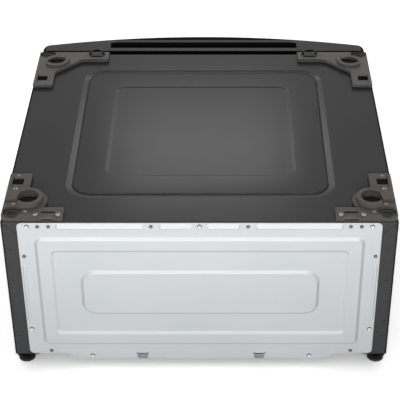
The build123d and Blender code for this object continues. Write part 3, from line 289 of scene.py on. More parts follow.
@dataclass(frozen=True)
class HollowShade:
    """Painted shade towards a mouth in a flat, from a far line to the mouth's edge, between slanted ends.
    """

    far: float
    near: float
    half: float
    slant: float
    fade: float = 1.0 * MM

    def share(self, recipe: Recipe) -> Wire:
        """A rise in depth, times a fall towards the ends, cut off at the mouth.

        Args:
            recipe: the material that it darkens.

        Returns:
            1 at the mouth and 0 outside the hollow.
        """
        depth = recipe.along("Y")
        inside = 1.0 - recipe.across().over(self.half - self.slant, self.half)
        before = 1.0 - depth.over(self.near, self.near + self.fade)
        return depth.over(self.far, self.near) * inside * before


@dataclass(frozen=True)
class RecessShade:
    """Painted shade on a strip of each hand's plate, between two lines across and two in depth, below a
    height.
    """

    inner: float
    outer: float
    front: float
    rear: float
    top: float
    strength: float = 0.75
    fade: float = 1.0 * MM

    def share(self, recipe: Recipe) -> Wire:
        """A band across, times a band in depth, cut off above.

        Args:
            recipe: the material that takes the painted shade.

        Returns:
            The strength within the strips and 0 outside them.
        """
        wide = recipe.across().within(self.inner, self.outer, self.fade)
        deep = recipe.along("Y").within(self.front, self.rear, self.fade)
        below = 1.0 - recipe.along("Z").over(self.top, self.top + self.fade)
        return wide * deep * below * self.strength


@dataclass(frozen=True)
class Paint:
    """Sprayed paint with a faint mottle and fine waves, made dull by marks, with painted light and shade
    from marks, its lines and a hollow.
    """

    name: str
    colour: Colour
    shade: Colour
    roughness: float
    gloss: float = 0.5
    mottle: float = 0.16
    mottle_range: Range = (0.2, 0.8)
    wave: float = 0.0016
    wave_strength: float = 0.03
    wave_depth: float = 0.0002
    haze: float = 0.04
    uneven: float = 0.03
    # painted shade: near black for the gap behind the drawer front and the pocket's mouth
    deep_shade: Colour = (0.005, 0.005, 0.005)
    # painted light and shade: one tone that lightens dark paint and darkens pale paint where marked
    light_and_shade: Colour = (0.3, 0.31, 0.325)
    # painted highlight on faces that look up
    up_highlight: Colour = (0.74, 0.76, 0.775)
    # painted shade on folds and past the dull lines
    edge: Colour = (0.021, 0.0198, 0.0202)
    dull_roughness: float = 0.9
    # beyond these lines the coat turns dull and takes the painted shade
    dull_line: float = -9.0
    side_line: float = 9.0
    dull_fade: float = 0.004
    hollow_shade: HollowShade | None = None

    def material(self) -> bpy.types.Material:
        """A glossy coat with painted light and shade from marks, mixed with a dull one by marks, past its
        lines and in its hollow; the dull one takes painted shade on folds and past its lines.

        Returns:
            The finished material.
        """
        recipe = Recipe(self.name)
        coat = recipe.blend(recipe.noise(self.mottle).over(*self.mottle_range), self.shade, self.colour)
        # painted highlight where faces look up
        clean = recipe.blend(recipe.mark("up_highlight"), coat, self.up_highlight)
        # painted light and shade where marked
        painted_light_and_shade = recipe.blend(recipe.mark("painted_light_and_shade"), clean, self.light_and_shade)
        # painted black shade on marked faces and in the hollow
        deep_shaded, flat = recipe.mark("deep_shade"), recipe.mark("matt")
        # painted shade that deepens towards the pocket's mouth
        if self.hollow_shade:
            sunk_shade = self.hollow_shade.share(recipe)
            deep_shaded, flat = deep_shaded.most(sunk_shade), flat.most(sunk_shade)
        tone = recipe.blend(deep_shaded, painted_light_and_shade, self.deep_shade)
        normal = recipe.bump(recipe.noise(self.wave), self.wave_strength, self.wave_depth)
        glossy = recipe.shader(
            base_color=tone,
            roughness=recipe.noise(self.haze).about(self.roughness, self.uneven),
            specular_ior_level=self.gloss,
            normal=normal,
        )
        # past the dull lines, on folds and on the shell's side roundings the dull coat takes painted shade
        ahead = 1.0 - recipe.along("Y").over(self.dull_line - self.dull_fade, self.dull_line)
        beside = recipe.across().over(self.side_line, self.side_line + self.dull_fade)
        lip = ahead.most(beside) * (1.0 - recipe.mark("polished"))
        dull = recipe.shader(
            base_color=recipe.blend(recipe.mark("dim").most(lip), tone, self.edge),
            roughness=self.dull_roughness,
            specular_ior_level=0.0,
            normal=normal,
        )
        return recipe.close(recipe.node("MixShader", inputs={0: flat.most(lip), 1: glossy, 2: dull}))


@dataclass(frozen=True)
class Plastic:
    """Moulded plastic with a fine grain, with painted shade along its foot and on marked tabs and a painted
    highlight on marked domes.
    """

    name: str
    colour: Colour
    shade: Colour
    roughness: float
    gloss: float = 0.5
    flow: float = 0.05
    flow_range: Range = (0.3, 0.7)
    flow_share: float = 0.6
    grain: float = 0.0007
    grain_range: Range = (0.35, 0.65)
    grain_strength: float = 0.25
    grain_depth: float = 0.00015
    uneven: float = 0.16
    # painted highlight on the domes
    dome_highlight_tone: Colour = (0.3, 0.29, 0.27)
    # painted shade: near black for the foot, recesses and tabs
    shade_dark: Colour = (0.004, 0.004, 0.004)
    foot: float = -1.0
    # painted shade up the foot's walls, as a contact shadow
    foot_shade_height: float = 0.0032
    foot_shade_start: float = 0.3
    recess_shade: RecessShade | None = None

    def material(self) -> bpy.types.Material:
        """Flow lines and grain mixed, then painted shade up the foot and on marked tabs, and a painted
        highlight on marked domes.

        Returns:
            The finished material.
        """
        recipe = Recipe(self.name)
        flow = recipe.noise(self.flow).over(*self.flow_range)
        fine = recipe.noise(self.grain, detail=3.0)
        cloud = flow * self.flow_share + fine.over(*self.grain_range) * (1.0 - self.flow_share)
        clean = recipe.blend(cloud, self.shade, self.colour)
        # painted contact shadow up from the foot, kept off the faces that look up
        lifted = recipe.along("Z").over(self.foot + self.foot_shade_start * self.foot_shade_height, self.foot + self.foot_shade_height)
        foot_shaded = recipe.blend(lifted.most(recipe.mark("shade_free")), self.shade_dark, clean)
        # painted shade on marked tabs and in the strap guides' recess
        tab_shade_share = recipe.mark("tab_shaded")
        if self.recess_shade:
            tab_shade_share = tab_shade_share.most(self.recess_shade.share(recipe))
        tab_shaded = recipe.blend(tab_shade_share, foot_shaded, self.shade_dark)
        # painted highlight on the marked domes
        return recipe.surface(
            base_color=recipe.blend(recipe.mark("dome_highlight"), tab_shaded, self.dome_highlight_tone),
            roughness=fine.about(self.roughness, self.uneven),
            specular_ior_level=self.gloss,
            normal=recipe.bump(fine, self.grain_strength, self.grain_depth),
        )


@dataclass(frozen=True)
class Galvanised:
    """Hot-dipped sheet with its crystal flowers."""

    name: str
    colour: Colour
    shade: Colour
    roughness: float = 0.32
    metal: float = 0.9
    flower: float = 0.006
    uneven: float = 0.2
    dimple: float = 0.002
    dimple_strength: float = 0.06
    dimple_depth: float = 0.0002

    def material(self) -> bpy.types.Material:
        """One tone and one roughness for each crystal's cell, over shallow dimples.

        Returns:
            The finished material.
        """
        recipe = Recipe(self.name)
        inputs = {"Vector": recipe.place(), "Scale": 1.0 / self.flower}
        cells = recipe.node("TexVoronoi", inputs=inputs, out="Color")
        share = recipe.node("SeparateColor", inputs={0: cells})
        return recipe.surface(
            base_color=recipe.blend(share, self.shade, self.colour),
            roughness=share * self.uneven + self.roughness,
            metallic=self.metal,
            normal=recipe.bump(recipe.noise(self.dimple), self.dimple_strength, self.dimple_depth),
        )


@dataclass(frozen=True)
class Plated:
    """Drawn or turned steel, plated, with fine lines along one axis and painted shade where marked."""

    name: str
    colour: Colour
    shade: Colour
    roughness: float
    stretch: Point = (1.0, 1.0, 1.0)
    metal: float = 0.92
    line: float = 0.0008
    line_strength: float = 0.08
    line_depth: float = 0.0001
    stain: float = 0.03
    stain_range: Range = (0.3, 0.7)
    stain_share: float = 0.6
    uneven: float = 0.2
    # painted shade for flanges, recesses and dimmed screws
    shade_tone: Colour = (0.05, 0.05, 0.05)

    def material(self) -> bpy.types.Material:
        """Stains and lines mixed, then darkened to painted shade where the mark says so.

        Returns:
            The finished material.
        """
        recipe = Recipe(self.name)
        lines = recipe.noise(self.line, detail=3.0, stretch=self.stretch)
        stain = recipe.noise(self.stain, detail=3.0).over(*self.stain_range)
        cloud = stain * self.stain_share + lines * (1.0 - self.stain_share)
        clean = recipe.blend(cloud, self.shade, self.colour)
        return recipe.surface(
            base_color=recipe.blend(recipe.mark("painted_shade"), clean, self.shade_tone),
            roughness=lines.about(self.roughness, self.uneven),
            metallic=self.metal,
            normal=recipe.bump(lines, self.line_strength, self.line_depth),
        )


@dataclass(frozen=True)
class Rubber:
    """Dull rubber with a powdery bloom."""

    name: str
    colour: Colour
    shade: Colour
    roughness: float = 0.7
    bloom: float = 0.006
    bloom_range: Range = (0.3, 0.75)
    bloom_strength: float = 0.2
    bloom_depth: float = 0.0002
    uneven: float = 0.2

    def material(self) -> bpy.types.Material:
        """One noise that tones, roughens and lifts the surface.

        Returns:
            The finished material.
        """
        recipe = Recipe(self.name)
        bloom = recipe.noise(self.bloom, detail=4.0)
        return recipe.surface(
            base_color=recipe.blend(bloom.over(*self.bloom_range), self.shade, self.colour),
            roughness=bloom * self.uneven + self.roughness,
            normal=recipe.bump(bloom, self.bloom_strength, self.bloom_depth),
        )


Finish = Paint | Plastic | Galvanised | Plated | Rubber
CHARCOAL = Paint("charcoal_paint", (0.048, 0.0453, 0.0461), (0.046, 0.0434, 0.0442), 0.21, gloss=0.11)
PALE = Paint("pale_coat", (0.6, 0.625, 0.642), (0.565, 0.595, 0.615), 0.42, wave=0.0022, wave_strength=0.05)
BOX_GREY = Paint("box_coat", (0.6, 0.61, 0.62), (0.56, 0.57, 0.58), 0.45)
WARM_GREY = Plastic("bracket_plastic", (0.091, 0.0845, 0.0745), (0.081, 0.075, 0.0655), 0.5, gloss=0.32)
# painted light: a lighter copy of the bracket plastic for the front brackets
LIT_WARM_GREY = replace(WARM_GREY, colour=(0.115, 0.11, 0.102), shade=(0.1, 0.096, 0.089))
BLACK_PLASTIC = Plastic("dark_plastic", (0.006, 0.006, 0.006), (0.004, 0.004, 0.004), 0.5, gloss=0.06)
ZINC_SHEET = Galvanised("galvanised_steel", (0.66, 0.67, 0.68), (0.5, 0.51, 0.53))
# painted shade: a darker copy of the galvanised sheet for the rear bottom rail, whose hooks show in the
# panel's notches
SHADED_SHEET = Galvanised("galvanised_steel", (0.3, 0.305, 0.31), (0.22, 0.225, 0.235))
RAIL_STEEL = Plated("slide_steel", (0.7, 0.71, 0.72), (0.6, 0.61, 0.62), 0.34, (1.0, 0.04, 1.0))
BALL_STEEL = Plated("bearing_steel", (0.82, 0.82, 0.83), (0.74, 0.74, 0.75), 0.16)
ZINC = Plated("bright_zinc", (0.8, 0.79, 0.75), (0.66, 0.66, 0.64), 0.34)
# painted shade: a darker copy of the bright zinc for the bracket screws
SHADED_ZINC = Plated("bright_zinc", (0.46, 0.45, 0.43), (0.34, 0.335, 0.32), 0.4)
BLACK_OXIDE = Plated("black_screw", (0.24, 0.235, 0.23), (0.17, 0.168, 0.165), 0.42, shade_tone=(0.02, 0.02, 0.02))
BLACK_RUBBER = Rubber("rubber", (0.035, 0.035, 0.034), (0.024, 0.024, 0.024))


@lru_cache(maxsize=None)
def dressed(finish: Finish) -> bpy.types.Material:
    """The one material of a finish."""
    return finish.material()


# Surfaces


class Shape:
    """Patches of a parametric surface that become one mesh."""

    def __init__(self) -> None:
        """Start with no patch."""
        self.points: list[Array] = []
        self.quads: list[Array] = []
        self.painted_shade: list[Array] = []
        self.count = 0

    def patch(self, grid: Array, wrap: bool = False, painted_shade: Array | float = 0.0) -> None:
        """Add a patch.

        Args:
            grid: points as (rows, columns, 3).
            wrap: joins the last column to the first.
            painted_shade: painted shade of each row, 0 to 1.
        """
        rows, columns, _ = grid.shape
        index = np.arange(rows * columns).reshape(rows, columns) + self.count
        if wrap:
            index = np.concatenate([index, index[:, :1]], axis=1)
        corners = (index[:-1, :-1], index[:-1, 1:], index[1:, 1:], index[1:, :-1])
        self.quads.append(np.stack(corners, axis=-1).reshape(-1, 4))
        self.points.append(grid.reshape(-1, 3))
        self.painted_shade.append(np.repeat(np.broadcast_to(painted_shade, rows), columns))
        self.count += rows * columns

    def piece(self, name: str, shading: Shading) -> bpy.types.Object:
        """Close the patches into one object at the origin.

        Args:
            name: the object's name.
            shading: how sharp an edge stays.

        Returns:
            The object, merged at poles and seams, with its faces outwards.
        """
        mesh = bpy.data.meshes.new(name)
        mesh.from_pydata(np.concatenate(self.points).tolist(), [], np.concatenate(self.quads).tolist())
        painted_shade = mesh.attributes.new("painted_shade", "FLOAT", "POINT")
        painted_shade.data.foreach_set("value", np.concatenate(self.painted_shade).astype(np.float32))
        return settled(name, mesh, shading)

    def stand_in(self, name: str, node: str, body: str, shading: Shading, finish: Finish) -> None:
        """Close the patches into the dressed piece that stands for a CAD node.

        Args:
            name: the piece's name.
            node: the CAD node.
            body: the body it rides on.
            shading: how sharp an edge stays.
            finish: the piece's finish.
        """
        piece = self.piece(name, shading)
        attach(piece, body)
        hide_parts(node)
        finish_piece(piece, finish)


def settled(name: str, mesh: bpy.types.Mesh, shading: Shading, outwards: bool = True) -> bpy.types.Object:
    """Merge a mesh's doubles and shade it.

    Args:
        name: the new object's name.
        mesh: the mesh, changed in place.
        shading: how sharp an edge stays.
        outwards: turns the faces outwards afterwards.

    Returns:
        The object, linked to the scene.
    """
    work = bmesh.new()
    work.from_mesh(mesh)
    bmesh.ops.remove_doubles(work, verts=work.verts, dist=MERGE_DISTANCE)
    bmesh.ops.dissolve_degenerate(work, edges=work.edges, dist=SHORTEST_EDGE)
    if outwards:
        bmesh.ops.recalc_face_normals(work, faces=work.faces)
    work.to_mesh(mesh)
    work.free()
    mesh.shade_smooth()
    mesh.set_sharp_from_angle(angle=math.radians(shading.value))
    thing = bpy.data.objects.new(name, mesh)
    bpy.context.scene.collection.objects.link(thing)
    return thing


def ramp(values: Array, low: float, high: float) -> Array:
    """Straight rise from 0 at low to 1 at high, level beyond them."""
    return np.clip((values - low) / (high - low), 0.0, 1.0)


def ring_angles(count: int) -> Array:
    """Evenly spaced angles of one turn, without its end."""
    return np.linspace(0.0, 2.0 * math.pi, count, endpoint=False)


def hexagon(angles: Array, flats: float, sharpness: float = 40.0) -> Array:
    """Radius of a round-cornered hexagon: half the flats over the p-norm of the cosines to its three axes.

    Args:
        angles: angles round the axis.
        flats: distance across the flats.
        sharpness: the norm's power; higher is sharper.

    Returns:
        The radius at each angle.
    """
    axes = np.array([0.0, 1.0, 2.0]) * math.pi / 3.0
    cosines = np.abs(np.cos(angles[:, None] - axes[None, :]))
    return 0.5 * flats / np.sum(cosines**sharpness, axis=1) ** (1.0 / sharpness)


def turned(radii: Array, heights: Array, angles: Array) -> Array:
    """Radii about Z as points: the radius times the angle's cosine and sine, at the row's height.

    Args:
        radii: radius as (rows, angles).
        heights: height of each row.
        angles: angle of each column.

    Returns:
        Points as (rows, angles, 3).
    """
    x = radii * np.cos(angles)
    y = radii * np.sin(angles)
    z = np.broadcast_to(heights[:, None], radii.shape)
    return np.stack([x, y, z], axis=-1)


def stacked(rings: list[tuple[Array | float, float]], angles: Array) -> Array:
    """Rings of given radii and heights, as a grid of points about Z.

    Args:
        rings: (radius, or radius at each angle, height) from one end to the other.
        angles: the angles of the points.

    Returns:
        Points as (rings, angles, 3).
    """
    radii = np.stack([np.broadcast_to(radius, angles.shape) for radius, _ in rings])
    heights = np.array([height for _, height in rings])
    return turned(radii, heights, angles)


def middle_of(low: Vector, high: Vector, height: float) -> Array:
    """Middle of a box in plan, at a height."""
    return np.array([(low.x + high.x) / 2.0, (low.y + high.y) / 2.0, height])


def stood(points: Array, centre: Array, facing: Facing) -> Array:
    """Points about +Z turned to face a way and moved to a centre.

    Args:
        points: points about +Z, seat at height 0.
        centre: where the seat's middle goes.
        facing: where +Z goes.

    Returns:
        The placed points.
    """
    if facing is Facing.REAR:
        points = np.stack([points[..., 0], points[..., 2], -points[..., 1]], axis=-1)
    return points + centre


def islands(node: str) -> list[tuple[Array, Array]]:
    """Boxes of a CAD node's separate solids, found by passing the lowest label along edges until it rests.

    Args:
        node: the node's name.

    Returns:
        (lowest, highest) corner of each solid, in a steady order.
    """
    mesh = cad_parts[node].data
    points = np.empty(len(mesh.vertices) * 3)
    mesh.vertices.foreach_get("co", points)
    points = points.reshape(-1, 3)
    edges = np.empty(len(mesh.edges) * 2, dtype=np.int64)
    mesh.edges.foreach_get("vertices", edges)
    _, same = np.unique(np.round(points, PLACE_DIGITS), axis=0, return_inverse=True)
    first, second = same.ravel()[edges.reshape(-1, 2)].T
    labels = np.arange(same.max() + 1)
    at_rest = False
    while not at_rest:
        lowest = labels.copy()
        np.minimum.at(lowest, first, labels[second])
        np.minimum.at(lowest, second, labels[first])
        lowest = lowest[lowest]
        at_rest = bool((lowest == labels).all())
        labels = lowest
    owner = labels[same.ravel()]
    return [(points[owner == i].min(0), points[owner == i].max(0)) for i in np.unique(owner)]


def copied(node: str, body: str, shading: Shading, bevel: float = 0.0) -> bpy.types.Object:
    """A merged and smoothly shaded copy that stands for a CAD node.

    Args:
        node: the CAD node.
        body: the body it rides on.
        shading: how sharp an edge stays.
        bevel: width of softened edges in metres, 0 for none.

    Returns:
        The copy, in the node's place.
    """
    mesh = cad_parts[node].data.copy()
    piece = settled(node + "_skin", mesh, shading, outwards=False)
    if bevel:
        soften(piece, bevel)
    even = piece.modifiers.new("even_flats", "WEIGHTED_NORMAL")
    even.mode = "FACE_AREA"
    even.keep_sharp = True
    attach(piece, body)
    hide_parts(node)
    return piece


def soften(piece: bpy.types.Object, width: float) -> None:
    """Join a copy's flats into whole faces and bevel the edges between them.

    Args:
        piece: the copy.
        width: width of the bevels in metres.
    """
    work = bmesh.new()
    work.from_mesh(piece.data)
    flat = math.radians(FLAT_ANGLE)
    bmesh.ops.dissolve_limit(work, angle_limit=flat, verts=work.verts, edges=work.edges)
    work.to_mesh(piece.data)
    work.free()
    soft = piece.modifiers.new("soft_edges", "BEVEL")
    soft.width = width
    soft.segments = BEVEL_SEGMENTS
    soft.limit_method = "ANGLE"
    soft.angle_limit = math.radians(BEVEL_ANGLE)
    soft.harden_normals = True
    soft.use_clamp_overlap = True


def faces(piece: bpy.types.Object) -> tuple[Array, Array]:
    """Normals and middles of a piece's faces.

    Args:
        piece: the piece.

    Returns:
        Normals and middles, each as (faces, 3).
    """
    polygons = piece.data.polygons
    normals = np.empty(len(polygons) * 3)
    middles = np.empty(len(polygons) * 3)
    polygons.foreach_get("normal", normals)
    polygons.foreach_get("center", middles)
    return normals.reshape(-1, 3), middles.reshape(-1, 3)


def marked(piece: bpy.types.Object, name: str, weights: Array) -> None:
    """Store a weight of 0 to 1 on each face, for the finishes to read."""
    mark = piece.data.attributes.new(name, "FLOAT", "FACE")
    mark.data.foreach_set("value", np.clip(weights, 0.0, 1.0).astype(np.float32))


def finish_piece(piece: bpy.types.Object, finish: Finish) -> None:
    """Give a piece one finish and the record's slot of the same name.

    Args:
        piece: the piece.
        finish: its finish.
    """
    piece.data.materials.clear()
    piece.data.materials.append(dressed(finish))
    log.info("%s: %s", piece.name, finish.name)


def paint_node(node: str, finish: Finish) -> None:
    """Give a CAD node that stays in view a finish.

    Args:
        node: the node's name.
        finish: its finish.
    """
    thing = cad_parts[node]
    if not thing.material_slots:
        thing.data.materials.append(dressed(finish))
    for slot in thing.material_slots:
        slot.material = dressed(finish)
    log.info("%s: %s", node, finish.name)


# Sub-assemblies


@dataclass
class Cabinet:
    """Folded shell, pressed rear panel and the frame inside.

    Ranges and limits are parts of a face's normal.
    """

    body: str = "cabinet"
    front_rails: tuple[str, ...] = ("front_top_rail", "front_bottom_rail")
    fold: float = 14.0 * MM
    fold_range: Range = (0.15, 0.45)
    fold_up: float = 0.1
    # the painted shade on the shell's side roundings starts this far in
    edge: float = 6.0 * MM
    wall: float = 0.98
    flange: float = 0.9
    # painted light on the shell's rear flanges: how far they move towards the tone
    flange_light: float = 0.03
    # painted shade on the panel's faces that look down or outwards
    light_and_shade: float = 0.5
    lee_shade_range: Range = (0.0, 0.4)
    # painted highlight on the panel's faces that look up
    up_highlight_range: Range = (0.0, 0.3)

    def shell(self) -> None:
        """Copy the shell, dull with painted shade on its folds, with painted light on its rear flanges."""
        shell = copied("cabinet_shell", self.body, Shading.CRISP)
        low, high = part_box("cabinet_shell")
        normals, middles = faces(shell)
        side = ramp(np.abs(normals[:, 0]), *self.fold_range) * (np.abs(middles[:, 0]) > high.x - self.fold)
        front = ramp(-normals[:, 1], *self.fold_range) * (middles[:, 1] < low.y + self.fold)
        folded = np.maximum(side, front)
        marked(shell, "matt", folded)
        # painted shade on the folds that look up
        marked(shell, "dim", folded * (normals[:, 2] > self.fold_up))
        # side walls are kept free of the lip's painted shade
        marked(shell, "polished", np.abs(normals[:, 0]) > self.wall)
        # painted light on the rear-facing flanges
        marked(shell, "painted_light_and_shade", self.flange_light * (normals[:, 1] > self.flange))
        finish_piece(shell, replace(CHARCOAL, side_line=high.x - self.edge))

    def panel(self) -> None:
        """Copy the rear panel, with painted shade where it faces down or outwards and a painted highlight
        where it faces up.
        """
        panel = copied("rear_panel", self.body, Shading.CRISP)
        normals, middles = faces(panel)
        # painted shade where the panel's faces look down or outwards
        lee = np.maximum(-normals[:, 2], normals[:, 0] * np.sign(middles[:, 0]))
        marked(panel, "painted_light_and_shade", self.light_and_shade * ramp(lee, *self.lee_shade_range))
        # painted highlight where the panel's faces look up
        marked(panel, "up_highlight", ramp(normals[:, 2], *self.up_highlight_range))
        finish_piece(panel, PALE)

    def build(self) -> None:
        """Make the shell and the panel, and dress the rails, posts and foot plates."""
        self.shell()
        self.panel()
        for node in self.front_rails:
            paint_node(node, ZINC_SHEET)
        paint_node("rear_bottom_rail", SHADED_SHEET)
        for corner in CORNERS:
            paint_node(f"{corner}_post", CHARCOAL)
            paint_node(f"{corner}_foot_plate", CHARCOAL)


@dataclass
class Brackets:
    """Four moulded corner brackets with softened edges.

    Heights are above the top sheet or the plate. The strap's lines are in from the shell's side or front.
    """

    body: str = "cabinet"
    edge: float = 0.7 * MM
    plate: float = 8.5 * MM
    dome: float = 1.3 * MM
    # faces looking up more than this are kept free of the foot's painted shade
    dome_slope: Range = (0.75, 0.9995)
    dome_turn: float = 0.004
    shade_free: float = 0.7
    # where the painted shade on the front tabs goes, and how dark it is on faces that do not look back
    tab_step: float = 0.3 * MM
    tab_floor: float = 0.7 * MM
    tab_inset: float = 82.0 * MM
    tab_rear: float = 0.5
    tab_shade_level: float = 0.75
    # box of the painted shade under the strap guides
    strap_far: float = 142.0 * MM
    strap_near: float = 117.6 * MM
    strap_front: float = 14.0 * MM
    strap_rear: float = 31.0 * MM
    strap_top: float = 9.5 * MM

    def strap_shade(self) -> RecessShade:
        """The painted shade under the front brackets' strap guides.

        Returns:
            The painted shade, in the frame's own lines.
        """
        low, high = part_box("cabinet_shell")
        return RecessShade(
            inner=high.x - self.strap_far,
            outer=high.x - self.strap_near,
            front=low.y + self.strap_front,
            rear=low.y + self.strap_rear,
            top=high.z + self.strap_top,
        )

    def mark(self, bracket: bpy.types.Object) -> None:
        """Mark a painted highlight on the rear domes, the faces that look up as free of the foot's painted
        shade, and painted shade on the front strap guides.

        A dome's face is sloped a little, round both ways and just above the plate.

        Args:
            bracket: the bracket's copy.
        """
        _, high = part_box("cabinet_shell")
        normals, middles = faces(bracket)
        above = middles[:, 2] - high.z - self.plate
        gentle, steep = normals[:, 2] > self.dome_slope[0], normals[:, 2] < self.dome_slope[1]
        round_both_ways = np.abs(normals[:, :2]).min(axis=1) > self.dome_turn
        domed = gentle & steep & round_both_ways & (above > 0.0) & (above < self.dome)
        # painted highlight on the rear brackets' domes
        marked(bracket, "dome_highlight", domed * (middles[:, 1] > 0.0))
        marked(bracket, "shade_free", normals[:, 2] > self.shade_free)
        # painted shade on the front tabs, darkest on their faces that look back
        stepped = (np.abs(above) > self.tab_step) & (above > -self.tab_floor)
        tab = stepped & (np.abs(middles[:, 0]) < high.x - self.tab_inset)
        tab_shade_level = np.where(normals[:, 1] > self.tab_rear, 1.0, self.tab_shade_level)
        marked(bracket, "tab_shaded", tab * (middles[:, 1] < 0.0) * tab_shade_level)

    def build(self) -> None:
        """Copy, mark and dress each bracket, the front ones in a lighter copy of the plastic as painted
        light.
        """
        _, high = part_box("cabinet_shell")
        lit_mould = replace(LIT_WARM_GREY, recess_shade=self.strap_shade())
        for corner in CORNERS:
            mould = lit_mould if corner.startswith("front") else WARM_GREY
            bracket = copied(f"{corner}_bracket", self.body, Shading.MOULDED, self.edge)
            self.mark(bracket)
            finish_piece(bracket, replace(mould, foot=high.z))


Rings = list[tuple[Array | float, float, float]]


@dataclass
class ScrewSet:
    """Screws of one node, all in painted shade in front of a line, made of rings of (radius, height,
    painted shade).
    """

    node: str
    facing: Facing
    finish: Finish
    head: Head
    body: str = "cabinet"
    head_height: float = 2.2 * MM
    shank: float = 1.9 * MM
    shank_length: float = 6.0 * MM
    sides: int = 36
    dome_steps: int = 6
    shaded_line: float = -9.0
    shaded_level: float = 0.8

    def shaft(self) -> Rings:
        """A shank with a blunt tip, up to the seat.

        Returns:
            Its rings.
        """
        tip = -self.shank_length
        return [
            (0.0, tip, 0.0),
            (0.6 * self.shank, tip, 0.0),
            (self.shank, 0.75 * tip, 0.0),
            (self.shank, 0.0, 0.0),
        ]

    def hexagon_head(self, across: float) -> Rings:
        """A flanged hexagon: flange, flats, a cone that cuts the corners, and a dished top.

        Args:
            across: the flange's diameter.

        Returns:
            Its rings.
        """
        flange = 0.5 * across
        hexed = hexagon(ring_angles(self.sides), 0.74 * across)
        crown = np.minimum(hexed, 0.37 * across)
        top = self.head_height
        # the third value is painted shade: dark round the flange, none on the top
        return [
            (flange, 0.0, 1.0),
            (flange, 0.16 * top, 1.0),
            (0.96 * flange, 0.24 * top, 1.0),
            (hexed, 0.28 * top, 0.9),
            (hexed, 0.8 * top, 0.25),
            (0.96 * crown, top, 0.0),
            (0.76 * crown, 0.96 * top, 0.0),
            (0.3 * crown, 0.88 * top, 0.0),
            (0.0, 0.86 * top, 0.0),
        ]

    def round_head(self, across: float) -> Rings:
        """A round head: an edge, a quarter ellipse, and a hexagonal recess with a flat floor.

        Args:
            across: the head's diameter.

        Returns:
            Its rings.
        """
        radius = 0.5 * across
        top = self.head_height
        dome = []
        for turn in np.linspace(0.0, 0.5 * math.pi, self.dome_steps)[:-1]:
            out, up = 0.42 + 0.58 * math.cos(turn), 0.2 + 0.8 * math.sin(turn)
            dome.append((out * radius, up * top, 0.0))
        mouth = hexagon(ring_angles(self.sides), 0.62 * radius)
        # painted shade in the recess
        return [
            (radius, 0.0, 0.3),
            *dome,
            (1.12 * mouth, 0.99 * top, 0.2),
            (mouth, 0.9 * top, 1.0),
            (0.9 * mouth, 0.3 * top, 1.0),
            (0.0, 0.25 * top, 1.0),
        ]

    def build(self) -> None:
        """Put a screw where each CAD screw is."""
        shape = Shape()
        axis = 2 if self.facing is Facing.UP else 1
        head = {Head.HEXAGON: self.hexagon_head, Head.ROUND: self.round_head}[self.head]
        for low, high in islands(self.node):
            seat = (low + high) / 2.0
            seat[axis] = high[axis] - self.head_height
            rings = self.shaft() + head(float(np.delete(high - low, axis).max()))
            model = stacked([(radius, height) for radius, height, _ in rings], ring_angles(self.sides))
            # screws in front of the line are dimmed by painted shade
            least = self.shaded_level if seat[1] < self.shaded_line else 0.0
            painted_shade = np.maximum(np.array([row[2] for row in rings]), least)
            shape.patch(stood(model, seat, self.facing), wrap=True, painted_shade=painted_shade)
        shape.stand_in(self.node + "_dressed", self.node, self.body, Shading.CRISP, self.finish)


